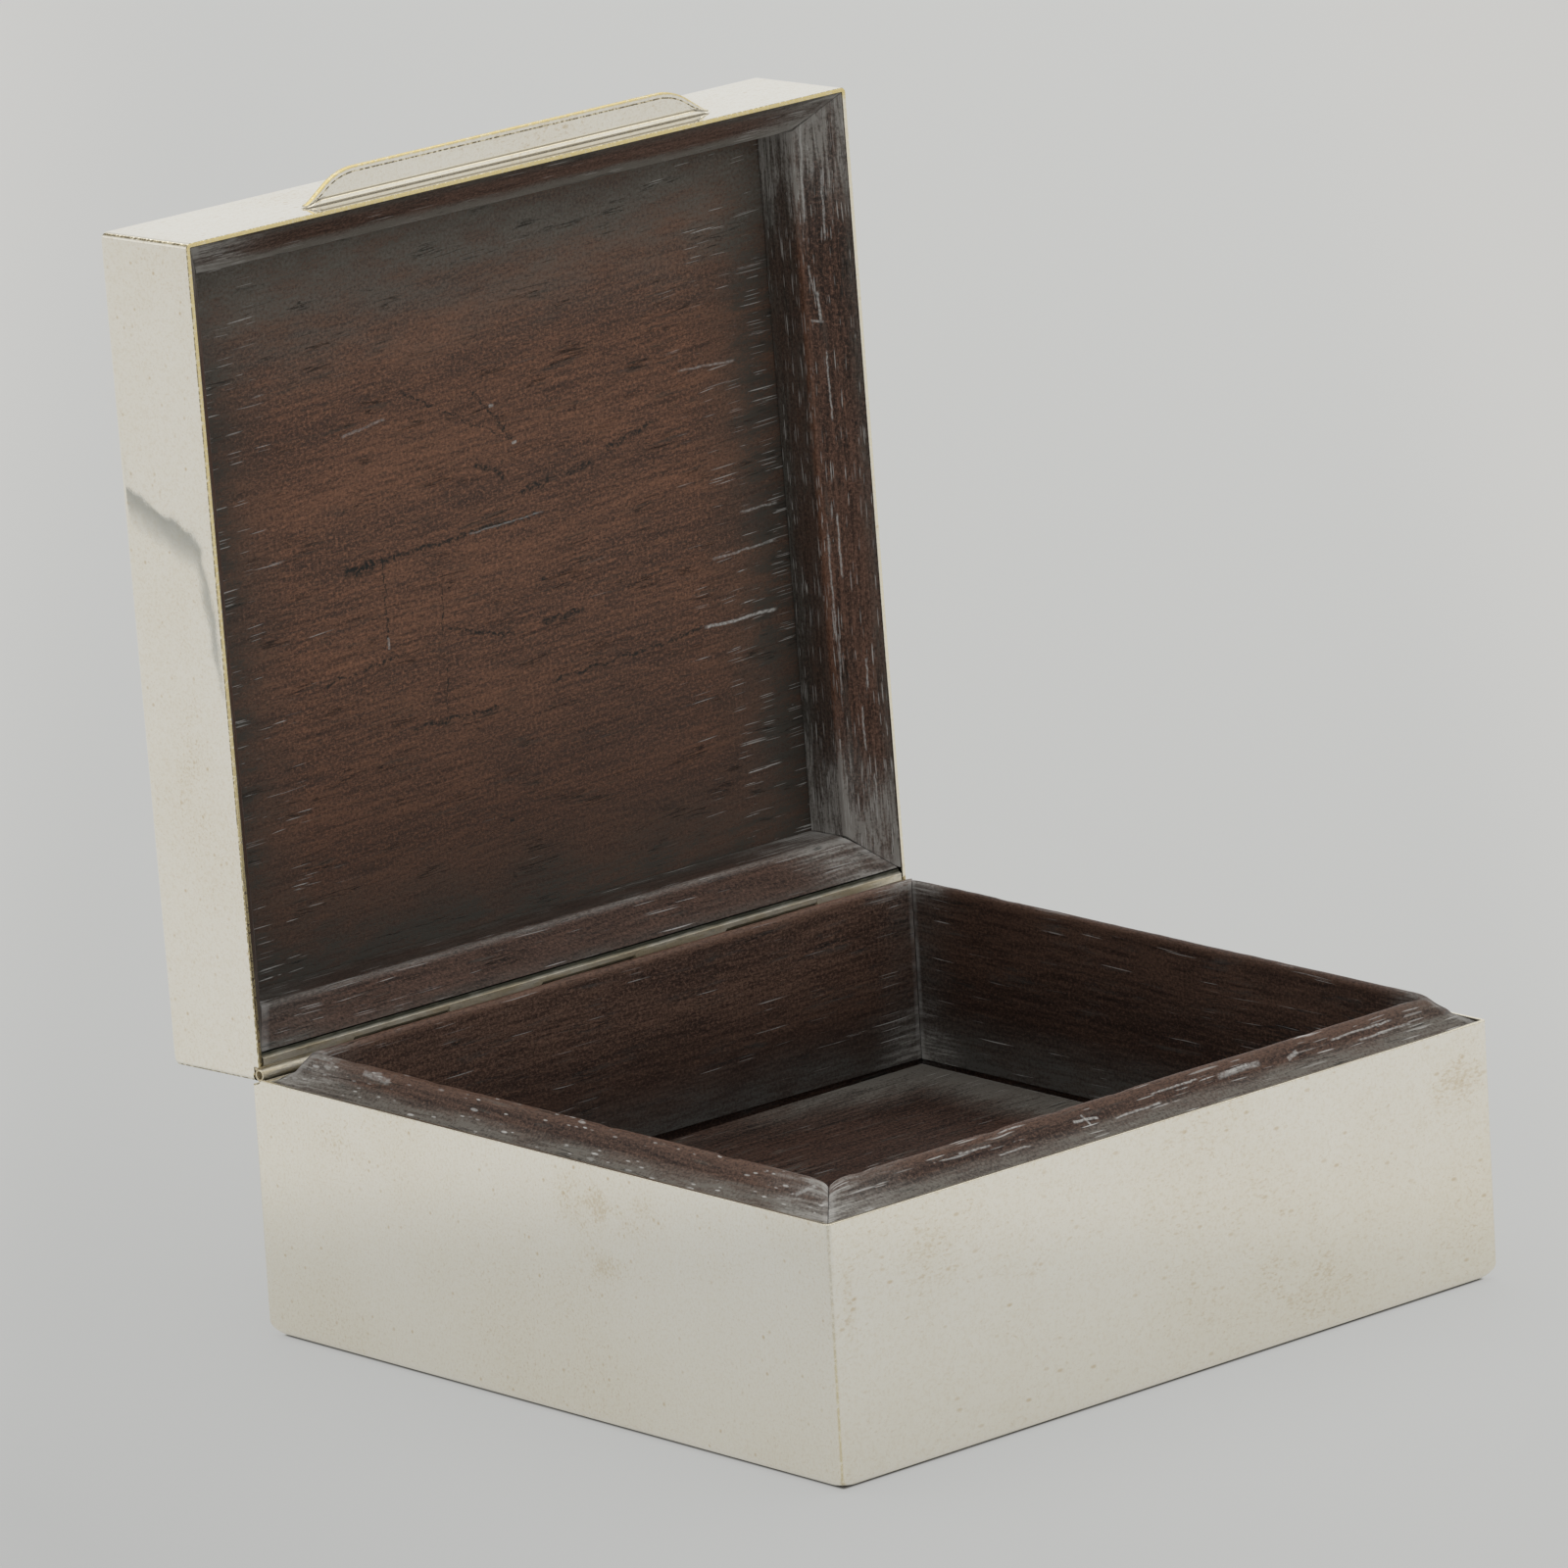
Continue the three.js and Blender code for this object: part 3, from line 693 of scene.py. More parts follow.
        body = finish.mix(mask, body, look.chalk if white else look.soot)
    relief = fibre * 0.5 + fine * 0.3 + grit * 0.3 - crack * 0.9
    roughness = 0.46 + 0.14 * smudge + 0.22 * grey - 0.06 * ridge
    return finish.surface(
        Base_Color=body,
        Metallic=0.0,
        Roughness=roughness,
        Specular_IOR_Level=0.22,
        Normal=finish.bump(relief, 0.00016),
    )


def hinge_finish(name, soil_and_shade=0.0):
    """Dull hinge silver with yellowed patches, and dirt in the hollows that the mesh marks.

    soil is how much dirt lies over all of it; on the pin it is also painted shade.
    """
    look = bpy.context.scene.cigar_box_hinge
    finish = Finish(name)
    place = finish.place()
    hollow, _, _ = finish.split(finish.mark("wear"))
    patches = finish.noise(finish.stretch(place, (0.12, 0.7, 0.7)), 1.0, 4, 0.6)
    grains = finish.noise(place, 2.2, 3, 0.6)
    dirt = finish.noise(finish.stretch(place, (0.3, 1.1, 1.1), (0, 0, 0), (7, 3, 1)), 1.0, 3)
    body = finish.mix(patches.between(0.40, 0.62), look.metal, look.brassy)
    body = finish.mix(dirt.between(0.54, 0.74) * 0.25, body, look.dirt)
    body = finish.mix((hollow * (0.8 + 0.4 * dirt)).least(1), body, look.dirt)
    body = finish.mix((soil_and_shade + grains.between(0.55, 0.76) * 0.22).least(1), body, look.dirt)
    return finish.surface(
        Base_Color=body,
        Metallic=1.0,
        Roughness=0.30 + 0.25 * grains + 0.2 * dirt,
        Normal=finish.bump(grains + patches, 0.00008),
    )


def felt_finish(name):
    """Felted green baize with a short nap."""
    look = bpy.context.scene.cigar_box_hinge
    finish = Finish(name)
    place = finish.place()
    nap = finish.noise(place, 2.6, 4, 0.7)
    lay = finish.noise(place, 0.12, 3)
    lint = finish.cells(place, 0.5).between(0.12, 0.05)
    body = finish.mix(nap.between(0.35, 0.7), [part * 0.6 for part in look.baize], look.baize)
    body = finish.mix(lay.between(0.4, 0.7) * 0.35, body, [part * 1.6 for part in look.baize])
    body = finish.mix(lint * 0.5, body, (0.35, 0.36, 0.33))
    return finish.surface(
        Base_Color=body,
        Roughness=0.9 + 0.1 * nap,
        Normal=finish.bump(nap, 0.0003),
        Sheen_Weight=0.4,
    )


def board_finish(name):
    """Raw wood of the hidden bottom board, on object coordinates."""
    look = bpy.context.scene.cigar_box_lining
    finish = Finish(name)
    place = finish.place()
    rings = finish.noise(finish.stretch(place, (0.02, 0.25, 0.25)), 1.0, 4)
    fibre = finish.noise(finish.stretch(place, (0.1, 2.0, 2.0)), 1.0, 3, 0.6)
    body = finish.mix(rings.between(0.35, 0.65), [part * 0.7 for part in look.raw], look.raw)
    body = finish.mix(fibre.between(0.5, 0.7) * 0.4, body, [part * 0.45 for part in look.raw])
    return finish.surface(
        Base_Color=body, Roughness=0.7 + 0.15 * fibre, Normal=finish.bump(fibre, 0.00015)
    )


# Silver shells

CORNER_STEPS = 8
EDGE_STEPS = 8
SIDE_STEPS = 22
WALL_STEPS = 10
RIM_STEPS = 4
# Distances from a corner at which a side has extra points, with the corner's wear there.
CORNER_GUIDES = (
    (0.25, 0.22),
    (0.7, 0.06),
    (1.2, 0.0),
    (1.74, 0.0),
    (1.76, 0.0),
    (2.6, 0.0),
    (5.0, 0.0),
)
# Distances from the end of a wall at which it has extra rings, with the edge's wear there, and
# the distance from which its other rings are spread, in millimetres.
WALL_GUIDES = ((0.15, 0.7), (0.5, 0.3), (1.1, 0.08), (2.4, 0.0))
WALL_MARGIN = 4
# Smallest radius inside a corner, extra room behind the hinge, depth of the first ring inside
# the base's rim, and width of the worn edge of the foot's flange, in millimetres.
INNER_RADIUS = 0.2
CHANNEL_ROOM = 0.15
RIM_DEPTH = 6
FLANGE_EDGE = 0.5
# Insets of the rings on the lid's flat top in millimetres.
TOP_INSETS = (3, 6, 12, 20, 30, 42, 54, 66)


def corner_points(centre, radius, quarter):
    """Points round one corner, with the wear that is strongest in its middle."""
    points = []
    for step in range(CORNER_STEPS + 1):
        share = step / CORNER_STEPS
        angle = (quarter + share) * math.pi / 2
        place = (centre[0] + radius * math.cos(angle), centre[1] + radius * math.sin(angle))
        points.append((place, 1 - 0.6 * abs(2 * share - 1)))
    return points


def side_points(start, end):
    """Points along one straight side, without its ends."""
    run = math.dist(start, end)
    first = CORNER_GUIDES[-1][0]
    spread = [(first + (run - 2 * first) * step / SIDE_STEPS, 0.0) for step in range(1, SIDE_STEPS)]
    far = [(run - distance, wear) for distance, wear in reversed(CORNER_GUIDES)]
    points = []
    for distance, wear in [*CORNER_GUIDES, *spread, *far]:
        share = distance / run
        place = tuple(a + (b - a) * share for a, b in zip(start, end))
        points.append((place, wear))
    return points


def rectangle_ring(half_width, half_depth, radius):
    """A rounded rectangle, counterclockwise from above, as places with corner wear."""
    x = half_width - radius
    y = half_depth - radius
    corners = [
        corner_points(centre, radius, quarter)
        for quarter, centre in enumerate(((x, y), (-x, y), (-x, -y), (x, -y)))
    ]
    ring = []
    for quarter, corner in enumerate(corners):
        following = corners[(quarter + 1) % 4]
        ring.extend(corner)
        ring.extend(side_points(corner[-1][0], following[0][0]))
    return ring


def case_row(shape, half, spec, channel):
    """Adds one ring of a case. A spec is inset, height, corner radius and wear.

    channel gives a point's height from its Y and its height on a case without a hinge.
    """
    inset, height, radius, (edge, rim, foot) = spec
    on_wall = 1 - smooth(inset, 1.2, 3.0)
    ring = rectangle_ring(half[0] - inset, half[1] - inset, radius)
    marks = []
    for (x, y), corner in ring:
        place = (x, y, channel(y, height))
        marks.append((place, place, (max(edge, corner * on_wall), rim, foot)))
    return shape.row(marks)


PLAIN = (0.0, 0.0, 0.0)


def rim_specs(sheet, softness, rim, radius, inner_radius, upwards):
    """Rings over a rim from the outside to the inside, softened at both edges."""
    sign = 1 if upwards else -1
    specs = []
    for step in range(RIM_STEPS + 1):
        angle = step / RIM_STEPS * math.pi / 2
        inset = softness * (1 - math.cos(angle))
        height = rim - sign * softness * (1 - math.sin(angle))
        specs.append((inset, height, radius, (1.0, smooth(step, 1, 3), 0)))
    for step in range(RIM_STEPS + 1):
        angle = step / RIM_STEPS * math.pi / 2
        inset = sheet - softness * (1 - math.sin(angle))
        height = rim - sign * softness * (1 - math.cos(angle))
        wear = (1.0, 1 - smooth(step, 2, RIM_STEPS), 0.32 + 0.12 * step)
        specs.append((inset, height, inner_radius, wear))
    return specs


def wall_specs(low, high, radius, low_wear, high_wear):
    """Rings up a plain wall, with worn edges at its two ends."""
    heights = [(low + distance, low_wear * wear) for distance, wear in WALL_GUIDES]
    start = low + WALL_MARGIN
    run = high - low - 2 * WALL_MARGIN
    middle = [(start + run * step / WALL_STEPS, 0.0) for step in range(WALL_STEPS + 1)]
    tops = [(high - distance, high_wear * wear) for distance, wear in reversed(WALL_GUIDES)]
    return [(0.0, height, radius, (wear, 0, 0)) for height, wear in heights + middle + tops]


def base_channel(y, z):
    """Height of the base's silver where the hinge runs through it."""
    look = bpy.context.scene.cigar_box_hinge
    room = (look.tube_radius + look.clearance) / MM
    offset = y - HINGE_Y
    if offset >= 0:
        return min(z, HINGE_Z - room - CHANNEL_ROOM)
    if offset > -room:
        return min(z, HINGE_Z - math.sqrt(room * room - offset * offset))
    return z


def lid_channel(y, z):
    """Height of the shut lid's silver where the hinge runs through it."""
    look = bpy.context.scene.cigar_box_hinge
    room = (look.tube_radius + look.clearance) / MM
    offset = y - HINGE_Y
    if offset >= 0:
        return max(z, HINGE_Z + room + CHANNEL_ROOM)
    if offset > -room:
        return max(z, HINGE_Z + room - CHANNEL_ROOM)
    return z


class CIGARBOX_OT_base_case(bpy.types.Operator):
    """Makes the silver case of the base"""

    bl_idname = "cigar_box.base_case"
    bl_label = "Base case"

    def execute(self, context):
        look = context.scene.cigar_box_silver
        low, high = size_box("base_case")
        half = (high.x, high.y)
        sheet, radius = look.sheet / MM, look.upright_radius / MM
        foot, foot_corner = look.foot_radius / MM, look.foot_corner / MM
        flange, softness = look.foot_flange / MM, look.rim_softness / MM
        inner = max(radius - sheet, INNER_RADIUS)

        def foot_specs(bend, wall_radius, shares):
            specs = []
            for share in shares:
                angle = share * math.pi / 2
                inset = foot - bend * math.sin(angle)
                height = low.z + foot - bend * math.cos(angle)
                corner = foot_corner + (wall_radius - foot_corner) * share
                # The wear's third part is highest at the bottom of the foot, where the silver is painted dark as
                # the shade of the contact line.
                specs.append((inset, height, corner, (0, 0, 1 - smooth(share, 0.0, 0.62))))
            return specs

        shares = [step / EDGE_STEPS for step in range(EDGE_STEPS + 1)]
        specs = [(flange, low.z, foot_corner, (0.4, 0, 0.5))]
        specs += [(flange - FLANGE_EDGE, low.z, foot_corner, (0, 0, 0.8))]
        specs += foot_specs(foot, radius, shares)
        specs += wall_specs(low.z + foot, high.z - softness, radius, 0, 1)
        specs += rim_specs(sheet, softness, high.z, radius, inner, True)
        specs += [(sheet, high.z - RIM_DEPTH, inner, PLAIN)]
        specs += foot_specs(foot - sheet, inner, reversed(shares))
        specs += [(flange, low.z + sheet, foot_corner, PLAIN)]
        shape = Shape()
        rows = [case_row(shape, half, spec, base_channel) for spec in specs]
        shape.skin(rows, ends=False)
        stains = (
            ((72, -77, 38), (11, 6, 10), 0.9),
            ((30, -77, 12), (24, 6, 14), 0.55),
            ((-56, -77, 36), (14, 6, 11), 0.6),
            ((-76, -77, 33), (2.6, 5, 12), 0.9),
            ((-80, -18, 41), (6, 22, 7), 1.0),
            ((-80, -16, 30), (6, 14, 4), 0.8),
            ((-80, 52, 41), (6, 14, 8), 0.6),
            ((-80, -46, 38), (6, 12, 9), 0.55),
            ((80, 10, 30), (6, 30, 12), 0.6),
            ((-20, 77, 30), (34, 6, 12), 0.6),
        )
        finish = silver_finish(
            "Silver of the base",
            stains,
            polish=0.08,
            dents=0.0001,
            gilt_rim=0.2,
            edge_line=0.55,
            foot_line=0.3,
        )
        dress(shape.piece("silver_base"), finish, "base", "silver", "base_case")
        return {"FINISHED"}


class CIGARBOX_OT_lid_case(bpy.types.Operator):
    """Makes the silver case of the lid"""

    bl_idname = "cigar_box.lid_case"
    bl_label = "Lid case"

    def execute(self, context):
        look = context.scene.cigar_box_silver
        low, high = size_box("lid_case")
        half = (high.x, -low.y)
        sheet, radius = look.sheet / MM, look.upright_radius / MM
        edge, corner = look.lid_edge / MM, look.lid_corner / MM
        softness = look.rim_softness / MM
        inner = max(radius - sheet, INNER_RADIUS)

        def top_specs(bend, wall_radius, shares, wear):
            specs = []
            for share in shares:
                angle = share * math.pi / 2
                inset = edge - bend * math.cos(angle)
                height = high.z - edge + bend * math.sin(angle)
                round_off = wall_radius + (corner - wall_radius) * share
                strongest = wear * (1 - abs(2 * share - 1) * 0.75)
                specs.append((inset, height, round_off, (strongest, 0, 0)))
            return specs

        shares = [step / EDGE_STEPS for step in range(EDGE_STEPS + 1)]
        under = high.z - sheet
        specs = [(inset, under, corner, PLAIN) for inset in reversed(TOP_INSETS)]
        specs += top_specs(edge - sheet, inner, reversed(shares), 0)
        specs += list(reversed(rim_specs(sheet, softness, low.z, radius, inner, False)))
        specs += wall_specs(low.z + softness, high.z - edge, radius, 1, 0.2)
        specs += top_specs(edge, radius, shares, 0.35)
        specs += [(inset, high.z, corner, PLAIN) for inset in TOP_INSETS]
        shape = Shape()
        rows = [case_row(shape, half, spec, lid_channel) for spec in specs]
        shape.skin(rows, ends=True)
        # The wood meets the right rim closely, so no dirt sits in its inner edge.
        for place, wear in zip(shape.points, shape.wear):
            if place.x > half[0] - 2 * sheet:
                wear.z = 0
        stains = (
            ((-79, 10, 60), (6, 40, 9), 0.35),
            ((20, 0, 74), (50, 40, 6), 0.4),
            ((-40, -77, 66), (30, 6, 6), 0.3),
            ((50, 50, 74), (22, 16, 6), 0.55),
        )
        piece = shape.piece("silver_lid", OPEN_LID)
        finish = silver_finish(
            "Silver of the lid",
            stains,
            polish=0.014,
            dents=0.00003,
            gilt_rim=0.95,
            edge_line=0.85,
        )
        dress(piece, finish, "lid", "silver", "lid_case")
        return {"FINISHED"}


# Thumb piece

# Wear of the plate's rounded edge, which is gilt as the rims are.
GILT_BEAD = 2.0
# Wear of the two dark lines along its root and of the dull band between them.
ROOT_DARK = -0.6
ROOT_DULL = -0.12
# Reach at which the plate's section has its full size, and its least reach at the tips, in
# millimetres.
FULL_REACH = 2.4
LEAST_REACH = 0.3
# Distances from the free edge in millimetres, with the wear of the line that runs along it.
LINE_GUIDES = ((1.6, 0.0), (1.25, 0.1), (1.12, 0.95), (0.9, 0.95), (0.78, 0.1), (0.5, 0.2))


def thumb_outline(half, reach, end_run, shoulder_run):
    """Half of the plate's outline from its tip to the middle of its long edge."""
    shoulder = half - end_run
    share = shoulder_run / math.hypot(end_run, reach)
    slant = Vector((shoulder + share * end_run, reach * (1 - share)))
    corner = Vector((shoulder, reach))
    straight = Vector((shoulder - shoulder_run, reach))
    tip = Vector((half, 0))
    points = [tip.lerp(slant, step / 6) for step in range(6)]
    for step in range(13):
        t = step / 12
        points.append(slant.lerp(corner, t).lerp(corner.lerp(straight, t), t))
    points += [straight.lerp(Vector((0, reach)), step / 24) for step in range(1, 25)]
    return points


class CIGARBOX_OT_thumb_piece(bpy.types.Operator):
    """Makes the thumb piece on the front of the lid"""

    bl_idname = "cigar_box.thumb_piece"
    bl_label = "Thumb piece"

    def execute(self, context):
        look = context.scene.cigar_box_silver
        low, high = size_box("thumb_piece")
        middle_x = (low.x + high.x) / 2
        middle_z = (low.z + high.z) / 2
        half, reach = (high.x - low.x) / 2, high.y - low.y
        plate, root = look.thumb_plate / MM, look.thumb_root / MM
        right = thumb_outline(half, reach, look.thumb_end / MM, look.thumb_shoulder / MM)
        outline = right + [Vector((-point.x, point.y)) for point in reversed(right[:-1])]
        thick = plate / 2
        swell = (high.z - low.z) / 2
        bead = look.thumb_bead / MM

        def section(free_edge):
            """One side's points from the root to the free edge as reach, level and wear."""
            small = min(1, free_edge / FULL_REACH)
            marks = [
                (0, swell, ROOT_DARK),
                (root * 0.1, swell, ROOT_DARK),
                (root * 0.22, swell, ROOT_DULL),
                (root * 0.85, swell * 0.85, ROOT_DULL),
                (root * 1.05, thick, ROOT_DARK),
                (root * 1.25, thick, ROOT_DARK),
                (root * 1.5, thick, 0.0),
            ]
            marks = [(distance * small, level, wear) for distance, level, wear in marks]
            marks += [(free_edge - distance * small, thick, wear) for distance, wear in LINE_GUIDES]
            for step in range(5):
                angle = step / 8 * math.pi
                edge = free_edge - bead * small * (1 - math.sin(angle))
                marks.append((edge, thick - bead + bead * math.cos(angle), GILT_BEAD))
            return marks

        shape = Shape()
        rows = []
        for point in outline:
            side = section(max(point.y, LEAST_REACH))
            wave = 0.05 * ripple(point.x * 0.05, 2)
            loop = [(reach_out, level) for reach_out, level, _ in side]
            loop += [(reach_out, -level) for reach_out, level, _ in reversed(side)]
            wears = [wear for *_, wear in side] + [wear for *_, wear in reversed(side)]
            marks = []
            for (reach_out, level), wear in zip(loop, wears):
                place = (middle_x + point.x, high.y - reach_out, middle_z + level + wave)
                line, gilt, dirt = min(max(wear, 0), 1), float(wear == GILT_BEAD), max(-wear, 0)
                marks.append((place, place, (line, gilt, dirt)))
            rows.append(shape.row(marks))
        shape.skin(rows)
        stains = (((middle_x, low.y + 1, middle_z), (50, 2.2, 4), 0.35),)
        piece = shape.piece("thumb_plate", OPEN_LID)
        finish = silver_finish(
            "Silver of the thumb piece",
            stains,
            polish=0.08,
            dents=0.0001,
            gilt_rim=0.6,
            edge_line=0.85,
        )
        dress(piece, finish, "lid", "silver", "thumb_piece")
        return {"FINISHED"}


# Wood boards

# Length of the hazy ends of the lid's boards in millimetres.
LID_END_RUN = 30.0
# Sections along a board, and shares of its half length where it has more of them.
BOARD_STEPS = 90
END_SHARES = (0.9985, 0.996, 0.992, 0.986, 0.972)
# Distance between the boards' patterns in millimetres.
PATTERN_SHIFT = 40.0


def board_sections(profile, half_run, place, board, ends, end_run, wear_line):
    """Sections of a mitred board along its length.

    A profile point is inset, height, ridge and side wear. Its run shortens by its inset.
    Ends limits the half length, end_run is the length of the hazy ends, and wear_line gives
    the shift of a point in inset and height from its place along the board, its distance
    from the end, its ridge wear and its height. The grain's places across the board count
    from the profile's first point on the ridge.
    """
    stations = [-1 + 2 * step / BOARD_STEPS for step in range(BOARD_STEPS + 1)]
    stations = sorted({*stations, *END_SHARES, *[-share for share in END_SHARES]})
    arcs = [0.0]
    for first, second in zip(profile, profile[1:]):
        arcs.append(arcs[-1] + math.dist(first[:2], second[:2]))
    crest = next(arc for arc, mark in zip(arcs, profile) if mark[2] == 1)
    sections = []
    for share in stations:
        section = []
        for (inset, height, ridge, side), arc in zip(profile, arcs):
            reach = min(half_run - inset, ends)
            x = share * reach
            away = reach * (1 - abs(share))
            shift_in, shift_up = wear_line(x, away, ridge, height)
            point = place @ Vector((x, inset + shift_in, height + shift_up))
            end = smooth(away, end_run, 0)
            section.append((point, (x, arc - crest, board * PATTERN_SHIFT), (ridge, side, end)))
        sections.append(section)
    return sections


def wood_board(sections):
    """A closed board over its sections."""
    shape = Shape()
    shape.skin([shape.row(section) for section in sections])
    return shape


def lining_sides(half_width, front, back):
    """Name, turn and place of the four boards of a lining, and each one's side length."""
    depth = back - front
    middle = (front + back) / 2
    return (
        ("front", 0, (0, front), 2 * half_width),
        ("right", 90, (half_width, middle), depth),
        ("back", 180, (0, back), 2 * half_width),
        ("left", -90, (-half_width, middle), depth),
    )


def side_place(turn, place):
    """Where a board that is drawn along X, with its inset along Y, stands in the box."""
    return Matrix.Translation((*place, 0)) @ Matrix.Rotation(math.radians(turn), 4, "Z")


def liner_profile(look, insets, heights, rim, back_step=None):
    """Outline of a base board from its outer foot up the inside and over the lip.

    insets are those of its two faces, and heights those of its foot, the floor and its top.
    back_step gives the inset where the hinge strip begins, the level of its slot and the
    inset of the board's back.
    """
    wood, inner = insets
    foot_level, floor, top = heights
    gap_top = floor + look.floor_gap / MM
    gap_back = inner - look.gap_depth / MM
    ridge = look.ridge_radius / MM
    centre = (inner - ridge, top - ridge)
    shoulder = (wood + look.shoulder_run / MM, rim + look.shoulder_height / MM)
    run, rise = centre[0] - shoulder[0], centre[1] - shoulder[1]
    tangent = math.atan2(rise, run) + math.asin(ridge / math.hypot(run, rise))
    last = tangent + math.pi / 2
    outline = [(wood, foot_level, 0, 0), (gap_back, foot_level, 0, 0), (gap_back, gap_top, 0, 0)]
    walls = (0, 0.25, 1, 2.2, 4, 7, 12, 18, 24, 28)
    outline += [(inner, gap_top + rise_up, 0, 0.9 * smooth(rise_up, 12, 0)) for rise_up in walls]
    for drop, wear in ((3.4, 0.0), (2.2, 0.15), (1.2, 0.45), (0.4, 0.8)):
        outline.append((inner, centre[1] - drop, wear, 0))
    for step in range(9):
        angle = last * step / 8
        over = (centre[0] + ridge * math.cos(angle), centre[1] + ridge * math.sin(angle))
        outline.append((*over, 1, 0))
    start = outline[-1][:2]
    for step in range(1, 6):
        share = step / 6
        slope = [a + (b - a) * share for a, b in zip(start, shoulder)]
        outline.append((*slope, 1 - smooth(share, 0.0, 0.8), 0))
    foot = (wood, rim - look.foot_drop / MM)
    stop = 1.0
    if back_step:
        stop = (shoulder[0] - back_step[0]) / (shoulder[0] - foot[0])
    for step in range(6):
        share = step / 5 * stop
        shelf = [a + (b - a) * share for a, b in zip(shoulder, foot)]
        outline.append((*shelf, 0, 0.35 + 0.65 * smooth(share, 0.0, 0.5)))
    if back_step:
        outline.append((back_step[0], back_step[1], 0, 1))
        outline.append((back_step[2], back_step[1], 0, 1))
        outline.append((back_step[2], foot_level, 0, 0))
        outline = outline[1:]
    return outline


# How chipped and how hazy each board of the base is, how many of its pores are white on its
# open face, at its edges and on its ridge, a pore's length and width in millimetres, how pale
# its two ends are, how much of that lies on the open face and how much beyond the ridge, how
# far the ends reach, how much painted shade darkens the wall towards the floor, and how much
# lighter or darker the board is painted, painted light and shade that differ from board to board.
LINING_LOOKS = {
    "front": (0.4, 1.20, (0.13, 0.14, 0.13), (12.0, 0.66), (0.90, 0.0, 0.7, 1.0), 28.0, 0.0, 1.20),
    "right": (0.35, 1.6, (0.040, 0.05, 0.04), (17.0, 0.30), (0.35, 1.10, 0.06, 1.0), 17.0, 0.3, 0.92),
    "back": (0.15, 1.0, (0.036, 0.05, 0.03), (15.0, 0.30), (1.10, 0.35, 0.06, 1.0), 17.0, 0.6, 1.55),
    "left": (0.35, 1.20, (0.09, 0.13, 0.12), (3.4, 0.95), (0.78, 1.25, 0.7, 1.0), 24.0, 0.0, 1.22),
}
# White streaks and smears on the lips, counted across from the ridge: start, end, half width,
# whiteness.
LIP_SCARS = {
    "front": (
        ((18.0, 4.4), (29.0, 4.0), 0.75, 0.55),
        ((20.0, 4.0), (26.0, 3.9), 0.40, 0.8),
        ((35.0, 5.0), (38.0, 4.2), 0.60, 0.7),
        ((-17.0, 4.4), (-11.0, 5.0), 0.35, 0.8),
        ((-14.6, 3.4), (-13.4, 6.0), 0.30, 0.7),
        ((-8.0, 6.0), (4.0, 5.8), 0.30, 0.7),
        ((2.0, 3.8), (14.0, 3.6), 0.25, 0.7),
        ((46.0, 4.0), (62.0, 3.8), 0.28, 0.75),
        ((52.0, 5.6), (66.0, 5.4), 0.28, 0.65),
        ((-44.0, 3.8), (-36.0, 4.0), 0.30, 0.7),
        ((-36.0, 6.2), (-28.0, 6.2), 0.28, 0.6),
    ),
    "left": (
        ((-54.0, 3.0), (-46.0, 3.6), 0.80, 0.5),
        ((62.0, 5.4), (66.0, 2.8), 0.60, 0.5),
        ((69.0, 5.6), (76.0, 5.4), 0.70, 0.6),
    ),
}
# Length of the worn ends of the ridges in millimetres, and how much of that wear is left at
# the hinge.
CORNER_RUN = 4.6
HINGE_CORNER_WEAR = 0.15
# Depths below the ridge between which painted shade darkens the walls towards the floor, and
# height of the wedge-shaped gap's slope, in millimetres.
WALL_PAINTED_SHADE = (-8, -28)
WEDGE_RUN = 4


